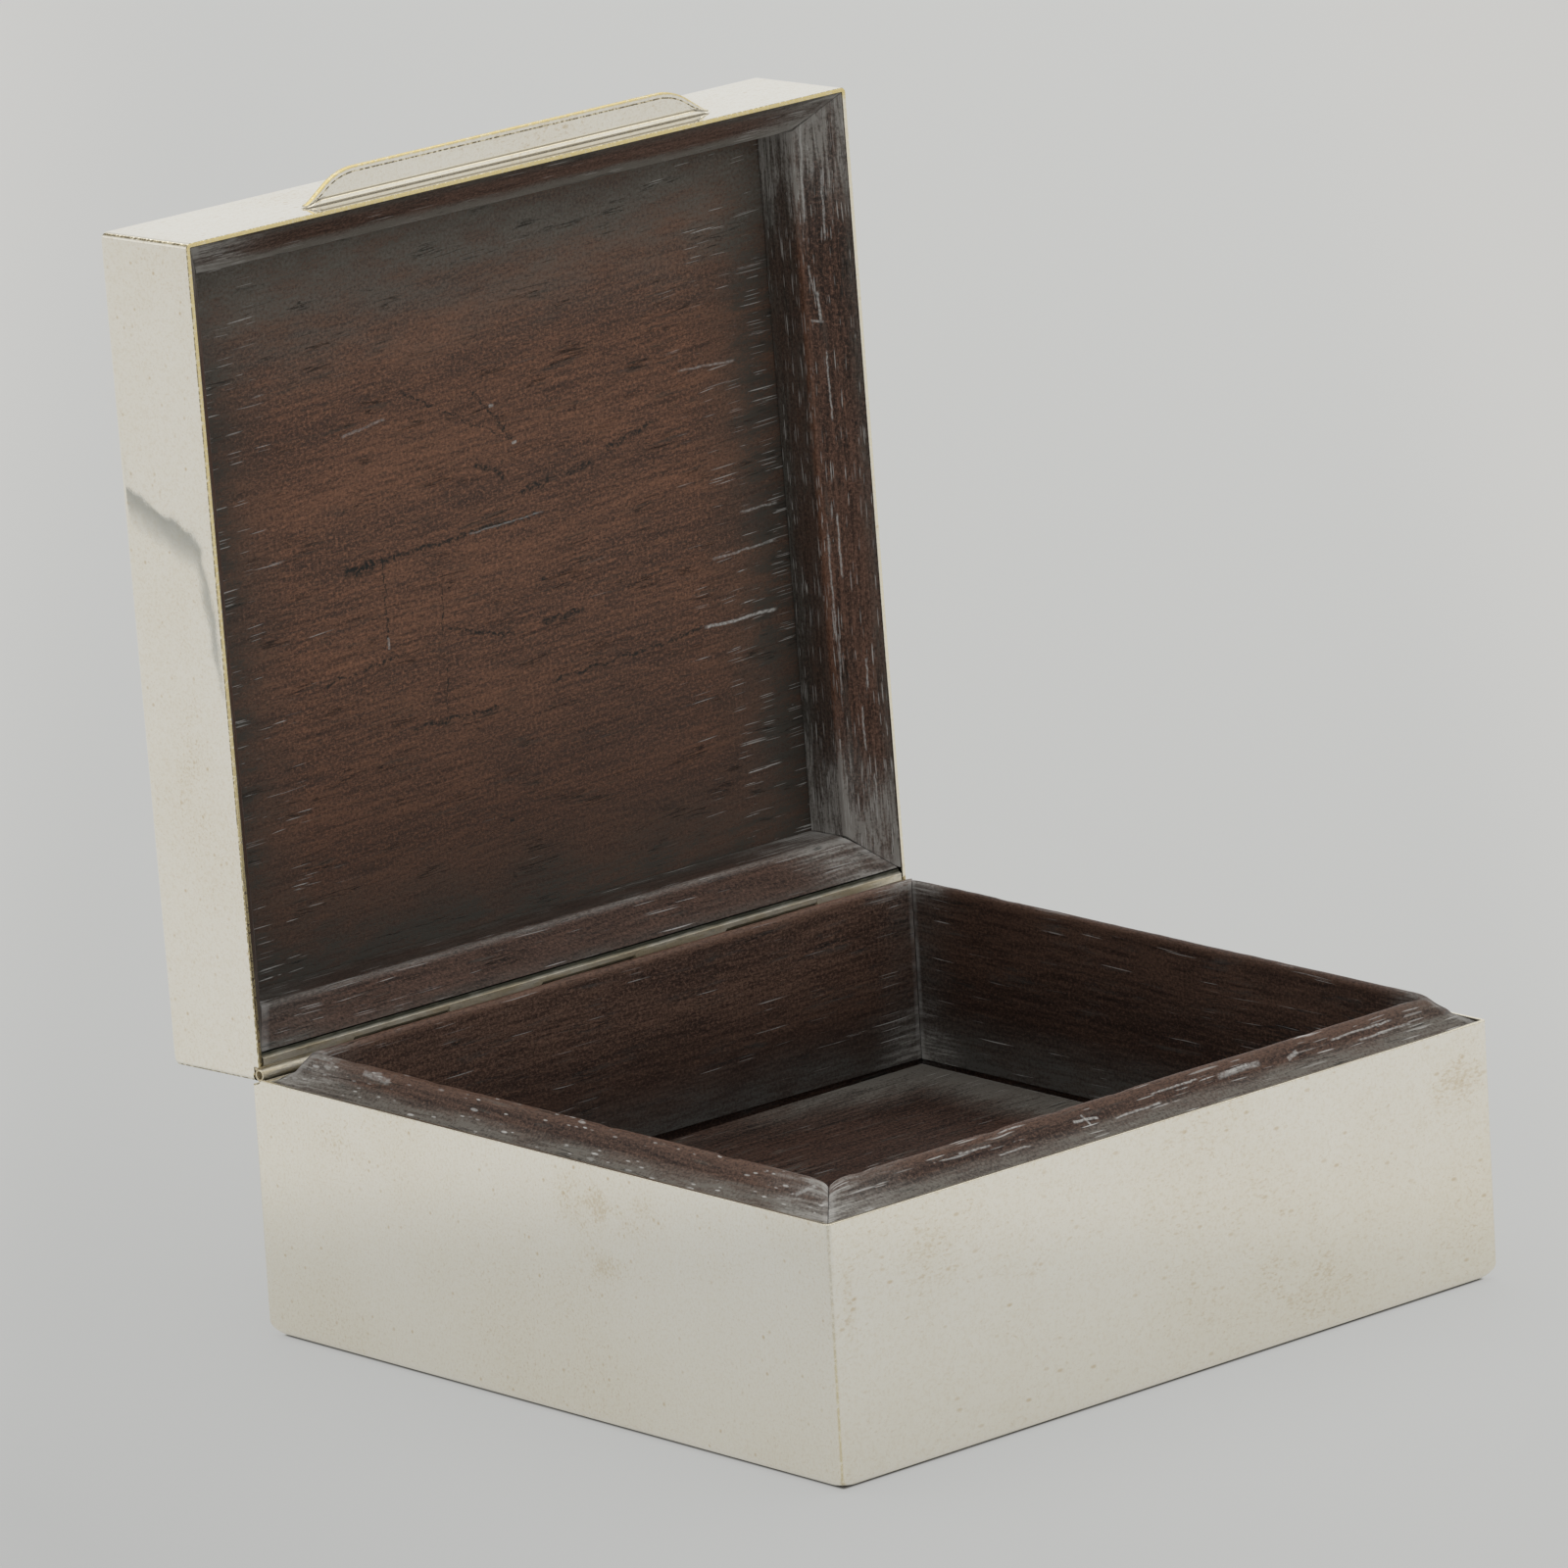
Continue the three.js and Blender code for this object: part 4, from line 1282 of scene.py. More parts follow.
class CIGARBOX_OT_base_lining(bpy.types.Operator):
    """Makes the four boards that line the base"""

    bl_idname = "cigar_box.base_lining"
    bl_label = "Base lining"

    def execute(self, context):
        look = context.scene.cigar_box_lining
        case_low, case_high = size_box("base_case")
        strip_low, _ = size_box("base_hinge_bearer")
        front_low, front_high = size_box("liner_front")
        back_low, back_high = size_box("liner_back")
        wood = front_low.y - case_low.y
        inner = front_high.y - case_low.y
        back = back_low.y + inner
        room = look.bearer_room / MM
        slot_front, slot_floor = strip_low.y - room, strip_low.z - room
        _, floor_high = size_box("floor_panel")
        loss, wedge = look.corner_wear / MM, look.gap_wedge / MM
        gap_top = floor_high.z + look.floor_gap / MM
        sides = lining_sides(case_high.x, case_low.y, back)
        for number, (name, turn, place, side) in enumerate(sides):
            step = None
            top = front_high.z
            if name == "back":
                step = (back - slot_front, slot_floor, back - back_high.y)
                top += look.back_rise / MM
            heights = (front_low.z, floor_high.z, top)
            profile = liner_profile(look, (wood, inner), heights, case_high.z, step)
            chipped, haze, chalk, dash, frost, end_run, painted_foot_shade, light = LINING_LOOKS[name]

            def wear_line(
                x, away, ridge, height, name=name, number=number, chipped=chipped, side=side
            ):
                waves = 0.14 * ripple(x * 0.05, number * 9) + 0.05 * ripple(x * 0.33, number * 5)
                chips = chipped * smooth(ripple(x * 0.13, 40 + number * 7), 0.15, 0.55)
                close = max(0, 1 - away / CORNER_RUN)
                hinge_end = (name == "right" and x > 0) or (name == "left" and x < 0)
                share = HINGE_CORNER_WEAR if name == "back" or hinge_end else 1
                worn = loss * share * (1 - math.sqrt(1 - close * close))
                lift = 0
                if name == "back" and height > floor_high.z + 0.1:
                    lift = wedge * (0.5 + x / side) * smooth(height, gap_top + WEDGE_RUN, gap_top)
                shift_in = -ridge * (0.5 * chips + 0.2 * waves)
                shift_up = ridge * (waves - chips * 0.5 - worn - 0.05) + lift
                return shift_in, shift_up

            half_run = side / 2 - look.mitre_gap / MM / math.sqrt(2)
            ends = front_high.x if name == "back" else side
            spot = side_place(turn, place)
            sections = board_sections(profile, half_run, spot, number, ends, end_run, wear_line)
            if name in ("left", "right"):
                sections = [
                    [clear_of_slot(mark, slot_front, slot_floor) for mark in section]
                    for section in sections
                ]
            piece = wood_board(sections).piece(f"lining_{name}")
            # The board's tones are painted lighter or darker, painted light and shade that differ from board to
            # board, and painted shade darkens its wall towards the floor.
            finish = wood_finish(
                f"Lining wood, {name}",
                (lit(look.lining_warm, light), lit(look.lining_dark, light)),
                seed=3 + number,
                film=look.bloom if name in ("front", "left") else look.dust,
                haze=(haze, haze),
                chalk=chalk,
                dash=dash,
                frost=frost,
                painted_shade=(*WALL_PAINTED_SHADE, painted_foot_shade),
                scars=LIP_SCARS.get(name, ()),
            )
            dress(piece, finish, "base", "lining_wood", f"liner_{name}")
        return {"FINISHED"}


def lit(tone, share):
    """A colour made lighter or darker."""
    # Painted light and shade: a board's colour made lighter or darker as a whole.
    return [part * share for part in tone]


def clear_of_slot(mark, slot_front, slot_floor):
    """Keeps a point of a side board out of the slot for the hinge strip."""
    place, grain, wear = mark
    if place.z > slot_floor and place.y > slot_front:
        place = Vector((place.x, slot_front, place.z))
    return place, grain, wear


class CIGARBOX_OT_floor_panel(bpy.types.Operator):
    """Makes the wood floor inside the base"""

    bl_idname = "cigar_box.floor_panel"
    bl_label = "Floor panel"

    def execute(self, context):
        look = context.scene.cigar_box_lining
        low, high = size_box("floor_panel")
        shape = panel_shape(low, high, softness=0.45, covered=0, bloom=18, face_up=True)
        finish = wood_finish(
            "Floor wood",
            (look.floor_warm, look.floor_dark),
            seed=11,
            film=look.bloom,
            haze=(0.1, 2.2),
            chalk=(0.02, 0.06, 0.0),
            dash=(8.0, 0.40),
            reach=(15, 68),
        )
        dress(shape.piece("floor_board"), finish, "base", "lining_wood", "floor_panel")
        return {"FINISHED"}


# Steps across the open face of a panel.
PANEL_STEPS = 60


def panel_shape(low, high, softness, covered, bloom, face_up):
    """A flat board with softened edges, its show face up or down, on a fine grid.

    covered is the width of its edges under other boards, and bloom that of the worn border.
    """
    shape = Shape()
    border = covered + bloom
    insets = [0.0, softness * 0.3, softness, softness * 2.5, border * 0.4, border * 0.7, border]
    half = Vector(((high.x - low.x) / 2, (high.y - low.y) / 2))
    centre = Vector(((high.x + low.x) / 2, (high.y + low.y) / 2))
    spread = [-1 + 2 * step / PANEL_STEPS for step in range(1, PANEL_STEPS)]

    def places(reach):
        near = [-reach + inset for inset in insets]
        inside = [share * (reach - border) for share in spread]
        return near + inside + [-place for place in reversed(near)]

    columns, lines = places(half.x), places(half.y)
    show, back = (high.z, low.z) if face_up else (low.z, high.z)
    inward = math.copysign(1, back - show)

    def grid(level, shown):
        rows = []
        for y in lines:
            marks = []
            for x in columns:
                gap = min(half.x - abs(x), half.y - abs(y))
                drop = softness * (1 - smooth(gap, 0.0, softness)) if shown else 0
                wave = 0.05 * ripple(x * 0.03, y * 0.05) * smooth(gap, 0.0, 4.0) if shown else 0
                place = (centre.x + x, centre.y + y, level + inward * (drop + abs(wave)))
                side = smooth(gap, border, covered)
                end = smooth(half.x - abs(x), covered + bloom * 0.7, covered)
                marks.append((place, (x, y, 0), (0, side, end)))
            rows.append(shape.row(marks))
        return rows

    upper, lower = grid(show, True), grid(back, False)
    for rows in (upper, lower):
        for first, second in zip(rows, rows[1:]):
            shape.bridge(first, second, closed=False)
    rims = []
    for rows in (upper, lower):
        left = [row[0] for row in rows]
        right = [row[-1] for row in rows]
        rims.append(rows[0] + right[1:] + rows[-1][::-1][1:] + left[::-1][1:-1])
    shape.bridge(rims[0], rims[1])
    return shape


def lid_board_profile(look, wood, inner, rim, depth, worn_from, back_step=None):
    """Outline of a lid board from the rim over its bevel and arris to the panel.

    worn_from is the share of the bevel where the arris begins to be worn.
    """
    arris_height = rim + look.bevel_depth / MM
    radius = look.arris / MM
    bevel = Vector((inner - wood, arris_height - rim)).normalized()
    first = Vector((inner, arris_height)) - bevel * radius
    last = Vector((inner, arris_height + radius))
    corner = Vector((inner, arris_height))
    start = Vector((wood, rim))
    if back_step:
        start = Vector((back_step[0], rim + (back_step[0] - wood) * bevel.y / bevel.x))
    outline = []
    for step in range(9):
        share = step / 8
        place = start.lerp(first, share)
        side = 0.7 * smooth(share, 0.32, 0.0)
        outline.append((place.x, place.y, 0.85 * smooth(share, worn_from, 1.0), side))
    for step in range(7):
        t = step / 6
        place = first.lerp(corner, t).lerp(corner.lerp(last, t), t)
        outline.append((place.x, place.y, 1, 0))
    for rise in (0.6, 1.5, 3, 5, 7, 8.2, 8.8):
        height = last.y + rise
        if height < depth - 0.1:
            side = 0.45 + 0.5 * smooth(height, depth - 4, depth)
            outline.append((inner, height, 0.6 * smooth(rise, 1.4, 0.0), side))
    outline.append((inner, depth, 0, 0.95))
    if back_step:
        outline.append((back_step[2], depth, 0, 0))
        outline.append((back_step[2], back_step[1], 0, 0))
        outline.append((back_step[0], back_step[1], 0, 0))
    else:
        outline.append((wood, depth, 0, 0))
    return outline


# How much lighter each board of the lid is painted in the three colours of its warm tone and in
# its dark tone, painted light and shade that differ from board to board, how many of its pores
# are white on its open face, at its edges and on its arris, and a pore's length.
LID_WOODS = {
    "front": ((1.25, 1.35, 1.45), 0.9, (0.06, 0.20, 0.05), 10.0),
    "right": ((1.40, 1.40, 1.40), 0.7, (0.13, 0.40, 0.34), 7.0),
    "back": ((0.98, 1.02, 1.05), 0.65, (0.06, 0.12, 0.10), 15.0),
    "left": ((1.05, 1.05, 1.05), 0.9, (0.07, 0.22, 0.12), 10.0),
}
# How pale the two ends of each board of the lid are, how much of that lies on the open face and
# how much beyond the arris; how hazy the board is, how grey its arris side is with bloom and a
# painted sheen, whether its arris is pale with wear and a painted highlight, how strong that is,
# and the share of the bevel where that begins.
LID_WEAR = {
    "front": ((1.7, 0.9, 0.6, 1.0), 1.5, 1.0, True, 2.2, 0.55),
    "right": ((3.7, 4.4, 0.34, 0.45), 1.1, 0.0, False, 0.6, 0.76),
    "back": ((1.4, 0.1, 0.6, 1.0), 0.9, 0.0, True, 0.85, 0.72),
    "left": ((0.5, 0.5, 0.6, 1.0), 0.9, 0.0, True, 1.0, 0.76),
}
# Width of a pore of the lid's boards. Places across them, counted from the arris, where painted
# shade darkens the wall and where the bevel turns grey with bloom and a painted sheen, and how
# much the wall darkens. All lengths are in millimetres.
LID_PORE_WIDTH = 0.36
LID_WALL_PAINTED_SHADE = (0.4, 2.6, 0.35)
LID_BEVEL_BLOOM_AND_SHEEN = (-4.0, -1.0)
# Dents and broken white lines on the lid's right board, counted across from its arris: start,
# end, half width, whiteness.
BOARD_SCARS = (
    ((-37.0, -2.2), (-31.0, -2.4), 0.35, 0.85),
    ((-31.4, -0.4), (-31.0, -3.0), 0.30, 0.7),
    ((-42.0, -0.8), (-36.0, -1.6), 0.25, 0.5),
    ((-26.0, -3.0), (-12.0, -3.2), 0.22, 0.8),
    ((5.0, -2.6), (18.0, -2.8), 0.25, 0.8),
    ((28.0, -1.2), (40.0, -1.0), 0.25, 0.6),
    ((33.0, -6.0), (39.0, -6.0), 0.22, 0.8),
    ((42.0, -4.6), (51.0, -4.6), 0.24, 0.7),
    ((55.0, -6.0), (61.0, -6.0), 0.22, 0.6),
    ((-60.0, -4.6), (-46.0, -4.4), 0.25, 0.7),
    ((-70.0, -1.4), (-50.0, -0.8), 0.30, 0.7),
    ((8.0, -0.6), (30.0, -0.7), 0.25, 0.6),
)


class CIGARBOX_OT_lid_lining(bpy.types.Operator):
    """Makes the four bevelled boards that line the lid"""

    bl_idname = "cigar_box.lid_lining"
    bl_label = "Lid lining"

    def execute(self, context):
        look = context.scene.cigar_box_lining
        case_low, case_high = size_box("lid_case")
        strip_low, strip_high = size_box("lid_hinge_bearer")
        front_low, front_high = size_box("lid_frame_front")
        back_low, back_high = size_box("lid_frame_back")
        wood = context.scene.cigar_box_silver.sheet / MM + look.lid_joint / MM
        inner = front_high.y - case_low.y
        back = back_low.y + inner
        room = look.bearer_room / MM
        slot_front, slot_top = strip_low.y - room, strip_high.z + room
        loss = look.corner_wear / MM
        sides = lining_sides(case_high.x, case_low.y, back)
        for number, (name, turn, place, side) in enumerate(sides):
            step = None
            if name == "back":
                step = (back - slot_front, slot_top, back - back_high.y)
            warm, dark, chalk, pore = LID_WOODS[name]
            frost, haze, bloom_and_sheen, pale_arris, rub, worn_from = LID_WEAR[name]
            profile = lid_board_profile(
                look, wood, inner, front_low.z, front_high.z, worn_from, step
            )

            def wear_line(x, away, ridge, height, number=number):
                waves = 0.10 * ripple(x * 0.06, 20 + number * 9)
                waves += 0.06 * ripple(x * 0.3, 30 + number * 5)
                worn = 0.12 * loss * smooth(away, 4.0, 0.0)
                return -ridge * (0.08 + abs(waves) + worn), ridge * waves * 0.5

            half_run = side / 2 - look.mitre_gap / MM / math.sqrt(2)
            ends = front_high.x if name == "back" else side
            spot = side_place(turn, place)
            sections = board_sections(profile, half_run, spot, number, ends, LID_END_RUN, wear_line)
            if name in ("left", "right"):
                sections = [
                    [below_lid_slot(mark, slot_front, slot_top) for mark in section]
                    for section in sections
                ]
            piece = wood_board(sections).piece(f"lid_board_{name}", OPEN_LID)
            # The board's tones are painted lighter or darker, painted light and shade that differ from board to
            # board.
            warm_tone = [part * share for part, share in zip(look.frame_warm, warm)]
            finish = wood_finish(
                f"Lid board wood, {name}",
                (warm_tone, lit(look.frame_dark, dark)),
                seed=21 + number,
                film=look.film,
                haze=(haze, haze),
                chalk=chalk,
                dash=(pore, LID_PORE_WIDTH),
                frost=frost,
                worn=look.frost if pale_arris else look.panel_warm,
                rub=rub,
                painted_shade=LID_WALL_PAINTED_SHADE,
                bloom_and_sheen=(*LID_BEVEL_BLOOM_AND_SHEEN, bloom_and_sheen),
                scars=BOARD_SCARS if name == "right" else (),
            )
            dress(piece, finish, "lid", "frame_wood", f"lid_frame_{name}")
        return {"FINISHED"}


def below_lid_slot(mark, slot_front, slot_top):
    """Keeps a point of a lid's side board out of the slot for the hinge strip."""
    place, grain, wear = mark
    if place.z < slot_top and place.y > slot_front:
        place = Vector((place.x, slot_front, place.z))
    return place, grain, wear


# Marks on the lid's panel from its middle in millimetres: start, end, half width, whiteness.
PANEL_SCARS = (
    ((-38.2, -6.3), (14.3, -8.3), 0.7, 0),
    ((-6.0, -7.4), (13.0, -8.2), 0.22, 0.4),
    ((-26.5, -9.0), (-26.6, 9.3), 0.25, 0),
    ((-26.6, 7.4), (-26.6, 9.8), 0.35, 0.6),
    ((9.1, 23.7), (50.0, 21.5), 0.5, 0),
    ((49.0, 21.5), (67.8, 21.4), 0.4, 0.9),
    ((52.2, 9.1), (68.9, 8.5), 0.3, 0.55),
    ((60.0, 1.6), (69.7, 1.6), 0.3, 0.5),
    ((47.4, -27.7), (62.1, -26.8), 0.3, 0.45),
    ((-33.8, -31.1), (-22.8, -32.4), 0.35, 0.35),
    ((-42.7, 13.2), (-21.4, 11.2), 0.4, 0),
    ((-19.8, -36.8), (7.3, -22.6), 0.28, 0),
    ((-3.2, -34.9), (7.3, -22.1), 0.28, 0),
    ((28.0, -16.4), (42.5, -19.8), 0.8, 0),
    ((-3.0, -20.6), (4.6, -16.0), 0.9, 0),
    ((7.6, -13.0), (14.6, -13.6), 0.8, 0),
    ((19.0, -14.2), (26.0, -15.0), 0.9, 0),
    ((-36.0, -6.0), (-28.0, -6.6), 1.6, 0),
    ((-12.8, -1.5), (-13.7, 10.1), 0.18, 0),
    ((-13.0, 8.7), (3.8, 13.3), 0.5, 0),
    ((-23.3, 25.4), (-0.5, 25.8), 0.55, 0),
    ((-13.1, 14.2), (-14.6, 27.3), 0.18, 0),
    ((9.7, 12.1), (20.7, 12.2), 0.8, 0),
    ((10.9, 4.2), (12.3, 4.2), 0.8, 0),
    ((-1.8, 47.4), (-0.6, 47.4), 0.6, 0),
    ((-2.2, 57.6), (-0.8, 57.6), 0.7, 0),
    ((6.4, -22.2), (7.6, -22.2), 0.4, 0.7),
    ((1.6, -29.9), (2.8, -29.9), 0.4, 0.6),
)


class CIGARBOX_OT_lid_panel(bpy.types.Operator):
    """Makes the wood panel inside the top of the lid"""

    bl_idname = "cigar_box.lid_panel"
    bl_label = "Lid panel"

    def execute(self, context):
        look = context.scene.cigar_box_lining
        low, high = size_box("lid_panel")
        _, frame_high = size_box("lid_frame_left")
        covered = frame_high.x - low.x
        shape = panel_shape(low, high, softness=0.3, covered=covered, bloom=23, face_up=False)
        # The panel's borders take the shade colour, a dark film with painted shade beside the frame boards;
        # painted shade darkens the panel towards the hinge and a painted sheen greys it towards the front.
        finish = wood_finish(
            "Lid panel wood",
            (look.panel_warm, look.panel_dark),
            seed=1,
            film=look.shade,
            haze=(1.3, 1.2),
            chalk=(0.010, 0.17, 0.0),
            dash=(11.0, 0.34),
            slant=2.0,
            border=(38, 72),
            painted_shade=(5, 60, 0.5),
            bloom_and_sheen=(-34, -66, 0.50),
            scars=PANEL_SCARS,
        )
        piece = shape.piece("lid_panel_board", OPEN_LID)
        dress(piece, finish, "lid", "panel_wood", "lid_panel")
        return {"FINISHED"}


# Hinge

# How far a knuckle's web laps its strip and sinks into the tube, and how far its middle lies
# inside the tube's height, in millimetres. Its thickness is in thicknesses of the tube's wall.
WEB_LAP = 0.35
WEB_SINK = 0.3
WEB_DROP = 0.45
WEB_THICKNESS = 1.6
TUBE_STEPS = 56
# Sections along a hinge strip, and length of the slope at the ends of its recesses in
# millimetres.
STRIP_STEPS = 140
RECESS_RUN = 0.4

KNUCKLE_INPUTS = {
    "Count": "NodeSocketInt",
    "Start": "NodeSocketVector",
    "Pitch": "NodeSocketFloat",
    "Length": "NodeSocketFloat",
    "Tube radius": "NodeSocketFloat",
    "Bore radius": "NodeSocketFloat",
    "Softness": "NodeSocketFloat",
    "Web place": "NodeSocketVector",
    "Web reach": "NodeSocketFloat",
}


def knuckle_tree(finish):
    """A row of hinge tubes along X, each with a web towards the strip that carries it."""
    tree = bpy.data.node_groups.new("Knuckle row", "GeometryNodeTree")
    tree.interface.new_socket("Geometry", in_out="OUTPUT", socket_type="NodeSocketGeometry")
    names = {}
    for name, kind in KNUCKLE_INPUTS.items():
        names[name] = tree.interface.new_socket(name, in_out="INPUT", socket_type=kind).identifier
    draw = Drawing(tree)
    entry = draw.node("NodeGroupInput")
    given = {name: entry.other(name) for name in KNUCKLE_INPUTS}
    wall = given["Tube radius"] - given["Bore radius"]
    middle = (given["Tube radius"] + given["Bore radius"]) * 0.5
    circle = draw.node(
        "GeometryNodeCurvePrimitiveCircle", None, {"Resolution": TUBE_STEPS, "Radius": middle}
    )
    upright = draw.node("GeometryNodeSetCurveNormal", {"mode": "Z_UP"}, {"Curve": circle})
    section = draw.node(
        "GeometryNodeCurvePrimitiveQuadrilateral", None, {"Width": wall, "Height": given["Length"]}
    )
    softened = draw.node(
        "GeometryNodeFilletCurve",
        {"mode": "POLY"},
        {"Curve": section, "Radius": given["Softness"], "Count": 4},
    )
    tube = draw.node("GeometryNodeCurveToMesh", None, {"Curve": upright, "Profile Curve": softened})
    lying = draw.node(
        "GeometryNodeTransform", None, {"Geometry": tube, "Rotation": (0, math.pi / 2, 0)}
    )
    web_size = draw.join(given["Length"], given["Web reach"], wall * WEB_THICKNESS)
    web = draw.node("GeometryNodeMeshCube", None, {"Size": web_size})
    placed = draw.node(
        "GeometryNodeTransform", None, {"Geometry": web, "Translation": given["Web place"]}
    )
    knuckle = draw.node("GeometryNodeJoinGeometry", None, {0: lying})
    draw.feed(knuckle.socket.node.inputs[0], placed)
    pitch = draw.join(given["Pitch"], 0, 0)
    line = draw.node(
        "GeometryNodeMeshLine",
        {"mode": "OFFSET"},
        {"Count": given["Count"], "Start Location": given["Start"], "Offset": pitch},
    )
    row = draw.node("GeometryNodeInstanceOnPoints", None, {"Points": line, "Instance": knuckle})
    real = draw.node("GeometryNodeRealizeInstances", None, {"Geometry": row})
    dressed = draw.node("GeometryNodeSetMaterial", None, {"Geometry": real, "Material": finish})
    draw.node("NodeGroupOutput", None, {0: dressed})
    return tree, names


def grown_piece(name, tree, names, values, turn):
    """Runs a node tree with its inputs set and gives its result as a plain mesh."""
    draft = bpy.data.objects.new(f"{name}_draft", bpy.data.meshes.new(f"{name}_draft"))
    bpy.context.scene.collection.objects.link(draft)
    modifier = draft.modifiers.new("Grow", "NODES")
    modifier.node_group = tree
    for key, value in values.items():
        modifier[names[key]] = value
    graph = bpy.context.evaluated_depsgraph_get()
    mesh = bpy.data.meshes.new_from_object(draft.evaluated_get(graph))
    draft.modifiers.remove(modifier)
    bpy.data.objects.remove(draft)
    mesh.name = name
    mesh.transform(turn)
    return finish_mesh(bpy.data.objects.new(name, mesh), SHARP_TUBE_EDGE)


def strip_shape(low, high, recesses, rim_side):
    """A hinge strip along X with soft edges and dirty recesses where the other leaf's tubes turn.

    rim_side is 1 where the strip's show edge is its top and -1 where it is its bottom.
    """
    shape = Shape()
    run = high.x - low.x
    stations = [low.x + run * step / STRIP_STEPS for step in range(STRIP_STEPS + 1)]
    for start, end in recesses:
        stations += [start - RECESS_RUN, start, end, end + RECESS_RUN]
    show, hidden = (high.z, low.z) if rim_side > 0 else (low.z, high.z)
    width = high.y - low.y
    rows = []
    for x in sorted(set(stations)):
        cut = 0.0
        for start, end in recesses:
            begun = smooth(x, start - RECESS_RUN, start)
            cut = max(cut, begun * smooth(x, end + RECESS_RUN, end))
        wave = abs(0.10 * ripple(x * 0.21, 3) + 0.08 * ripple(x * 0.9, 8))
        lower = 0.45 + 0.35 * cut
        # Share of the width, depth below the show edge, and how deep in the hollow it lies.
        section = (
            (0.0, abs(show - hidden), 1.0),
            (0.0, 0.7, 1.0),
            (0.16, 0.55, 1.0),
            (0.30, 0.16 + wave, 0.55),
            (0.36, wave, 0.0),
            (0.36 + 0.5 * (lower - 0.1), wave * 0.4, 0.0),
            (0.9 - 0.3 * cut, wave * 0.5, 0.1),
            (0.94 - 0.3 * cut, 0.12 + 0.3 * cut, 0.5),
            (1.0, 0.30 + 0.35 * cut, 0.4 + 0.6 * cut),
            (1.0, abs(show - hidden), 1.0),
        )
        marks = []
        for share, depth, hollow in section:
            place = (x, low.y + width * share, show - rim_side * depth)
            marks.append((place, place, (hollow, 0, 0)))
        rows.append(shape.row(marks))
    shape.skin(rows)
    return shape


class CIGARBOX_OT_hinge(bpy.types.Operator):
    """Makes the knuckles, the strips that carry them and the pin's finish"""

    bl_idname = "cigar_box.hinge"
    bl_label = "Hinge"

    def execute(self, context):
        look = context.scene.cigar_box_hinge
        finish = hinge_finish("Hinge silver")
        tree, names = knuckle_tree(finish)
        lid_low, lid_high = size_box("lid_case")
        row_length = lid_high.x - lid_low.x
        pitch = (row_length + look.tube_gap / MM) / look.knuckles
        tube = pitch - look.tube_gap / MM
        radius = look.tube_radius / MM
        starts = [lid_low.x + index * pitch for index in range(look.knuckles)]
        spans = [(start, start + tube) for start in starts]
        reach = look.clearance / MM + WEB_LAP
        web_middle = radius + reach / 2 - WEB_SINK
        for body, first, up, turn in (("lid", 0, 1, OPEN_LID), ("base", 1, -1, Matrix())):
            own = spans[first::2]
            start = Vector((sum(own[0]) / 2, HINGE_Y, HINGE_Z)) * MM
            values = {
                "Count": len(own),
                "Start": start,
                "Pitch": 2 * pitch * MM,
                "Length": tube * MM,
                "Tube radius": look.tube_radius,
                "Bore radius": look.bore_radius,
                "Softness": look.tube_softness,
                "Web place": Vector((0, -web_middle, up * (radius - WEB_DROP))) * MM,
                "Web reach": reach * MM,
            }
            piece = grown_piece(f"{body}_knuckles", tree, names, values, turn)
            nodes = [f"{body}_knuckle_{index + 1}" for index in range(len(own))]
            dress(piece, finish, body, "tarnished_silver", *nodes)
            low, high = size_box(f"{body}_hinge_bearer")
            shape = strip_shape(low, high, spans[1 - first :: 2], -up)
            piece = shape.piece(f"{body}_hinge_strip", turn)
            dress(piece, finish, body, "tarnished_silver", f"{body}_hinge_bearer")
        # The pin is darkened with dirt all over, which also stands as painted shade for the dark hole at the
        # tube's end.
        paint("hinge_pin", hinge_finish("Hinge pin", 0.7))
        return {"FINISHED"}


class CIGARBOX_OT_underside(bpy.types.Operator):
    """Makes the felt under the box and finishes the bottom board"""

    bl_idname = "cigar_box.underside"
    bl_label = "Underside"

    def execute(self, context):
        low, high = size_box("baize_pad")
        shape = panel_shape(low, high, softness=0.25, covered=0, bloom=4, face_up=False)
        piece = shape.piece("baize_sheet")
        dress(piece, felt_finish("Baize"), "base", "baize", "baize_pad")
        paint("bottom_board", board_finish("Raw board"))
        return {"FINISHED"}


# Stage

# Radii of the floor's rings in millimetres, and the number of points on each.
FLOOR_RINGS = (200, 500, 1000, 2000, 4000, 8000, 16000)
FLOOR_STEPS = 48
# The pale ground is painted lighter with the way back and to the right, painted light and
# shade on the floor, in these shares, from a start and over a run in metres, by a power of that.
GROUND_BACK = 0.6
GROUND_RIGHT = 1.3
GROUND_START = -0.25
GROUND_RUN = 1.15
GROUND_POWER = 0.7
# Places to the right and left of the box in metres between which the ground beside it begins.
GROUND_BESIDE = ((0.115, 0.175), (-0.145, -0.23))
# Distance from the foot in millimetres at which the pale ground is reached.
FOOT_SHADOW = 1.0
# The round lamp overhead in metres, and how softly the ceiling's reflection ends at its border.
LAMP_PLACE = Vector((0.3, 0.4, 2.2))
LAMP_RADIUS = 1.92
LAMP_BORDER = 0.03
# Two borders of the grey card on the floor in millimetres, the sharp one and the fading one.
CARD_SHARP = (
    (-560, 720),
    (-514, 647),
    (-494, 620),
    (-483, 598),
    (-477, 583),
    (-471, 570),
    (-462, 555),
    (-376, 445),
)
CARD_FADED = (
    (-540, 690),
    (-478, 606),
    (-468, 587),
    (-462, 575),
    (-456, 562),
    (-450, 550),
    (-446, 538),
    (-374, 442),
)


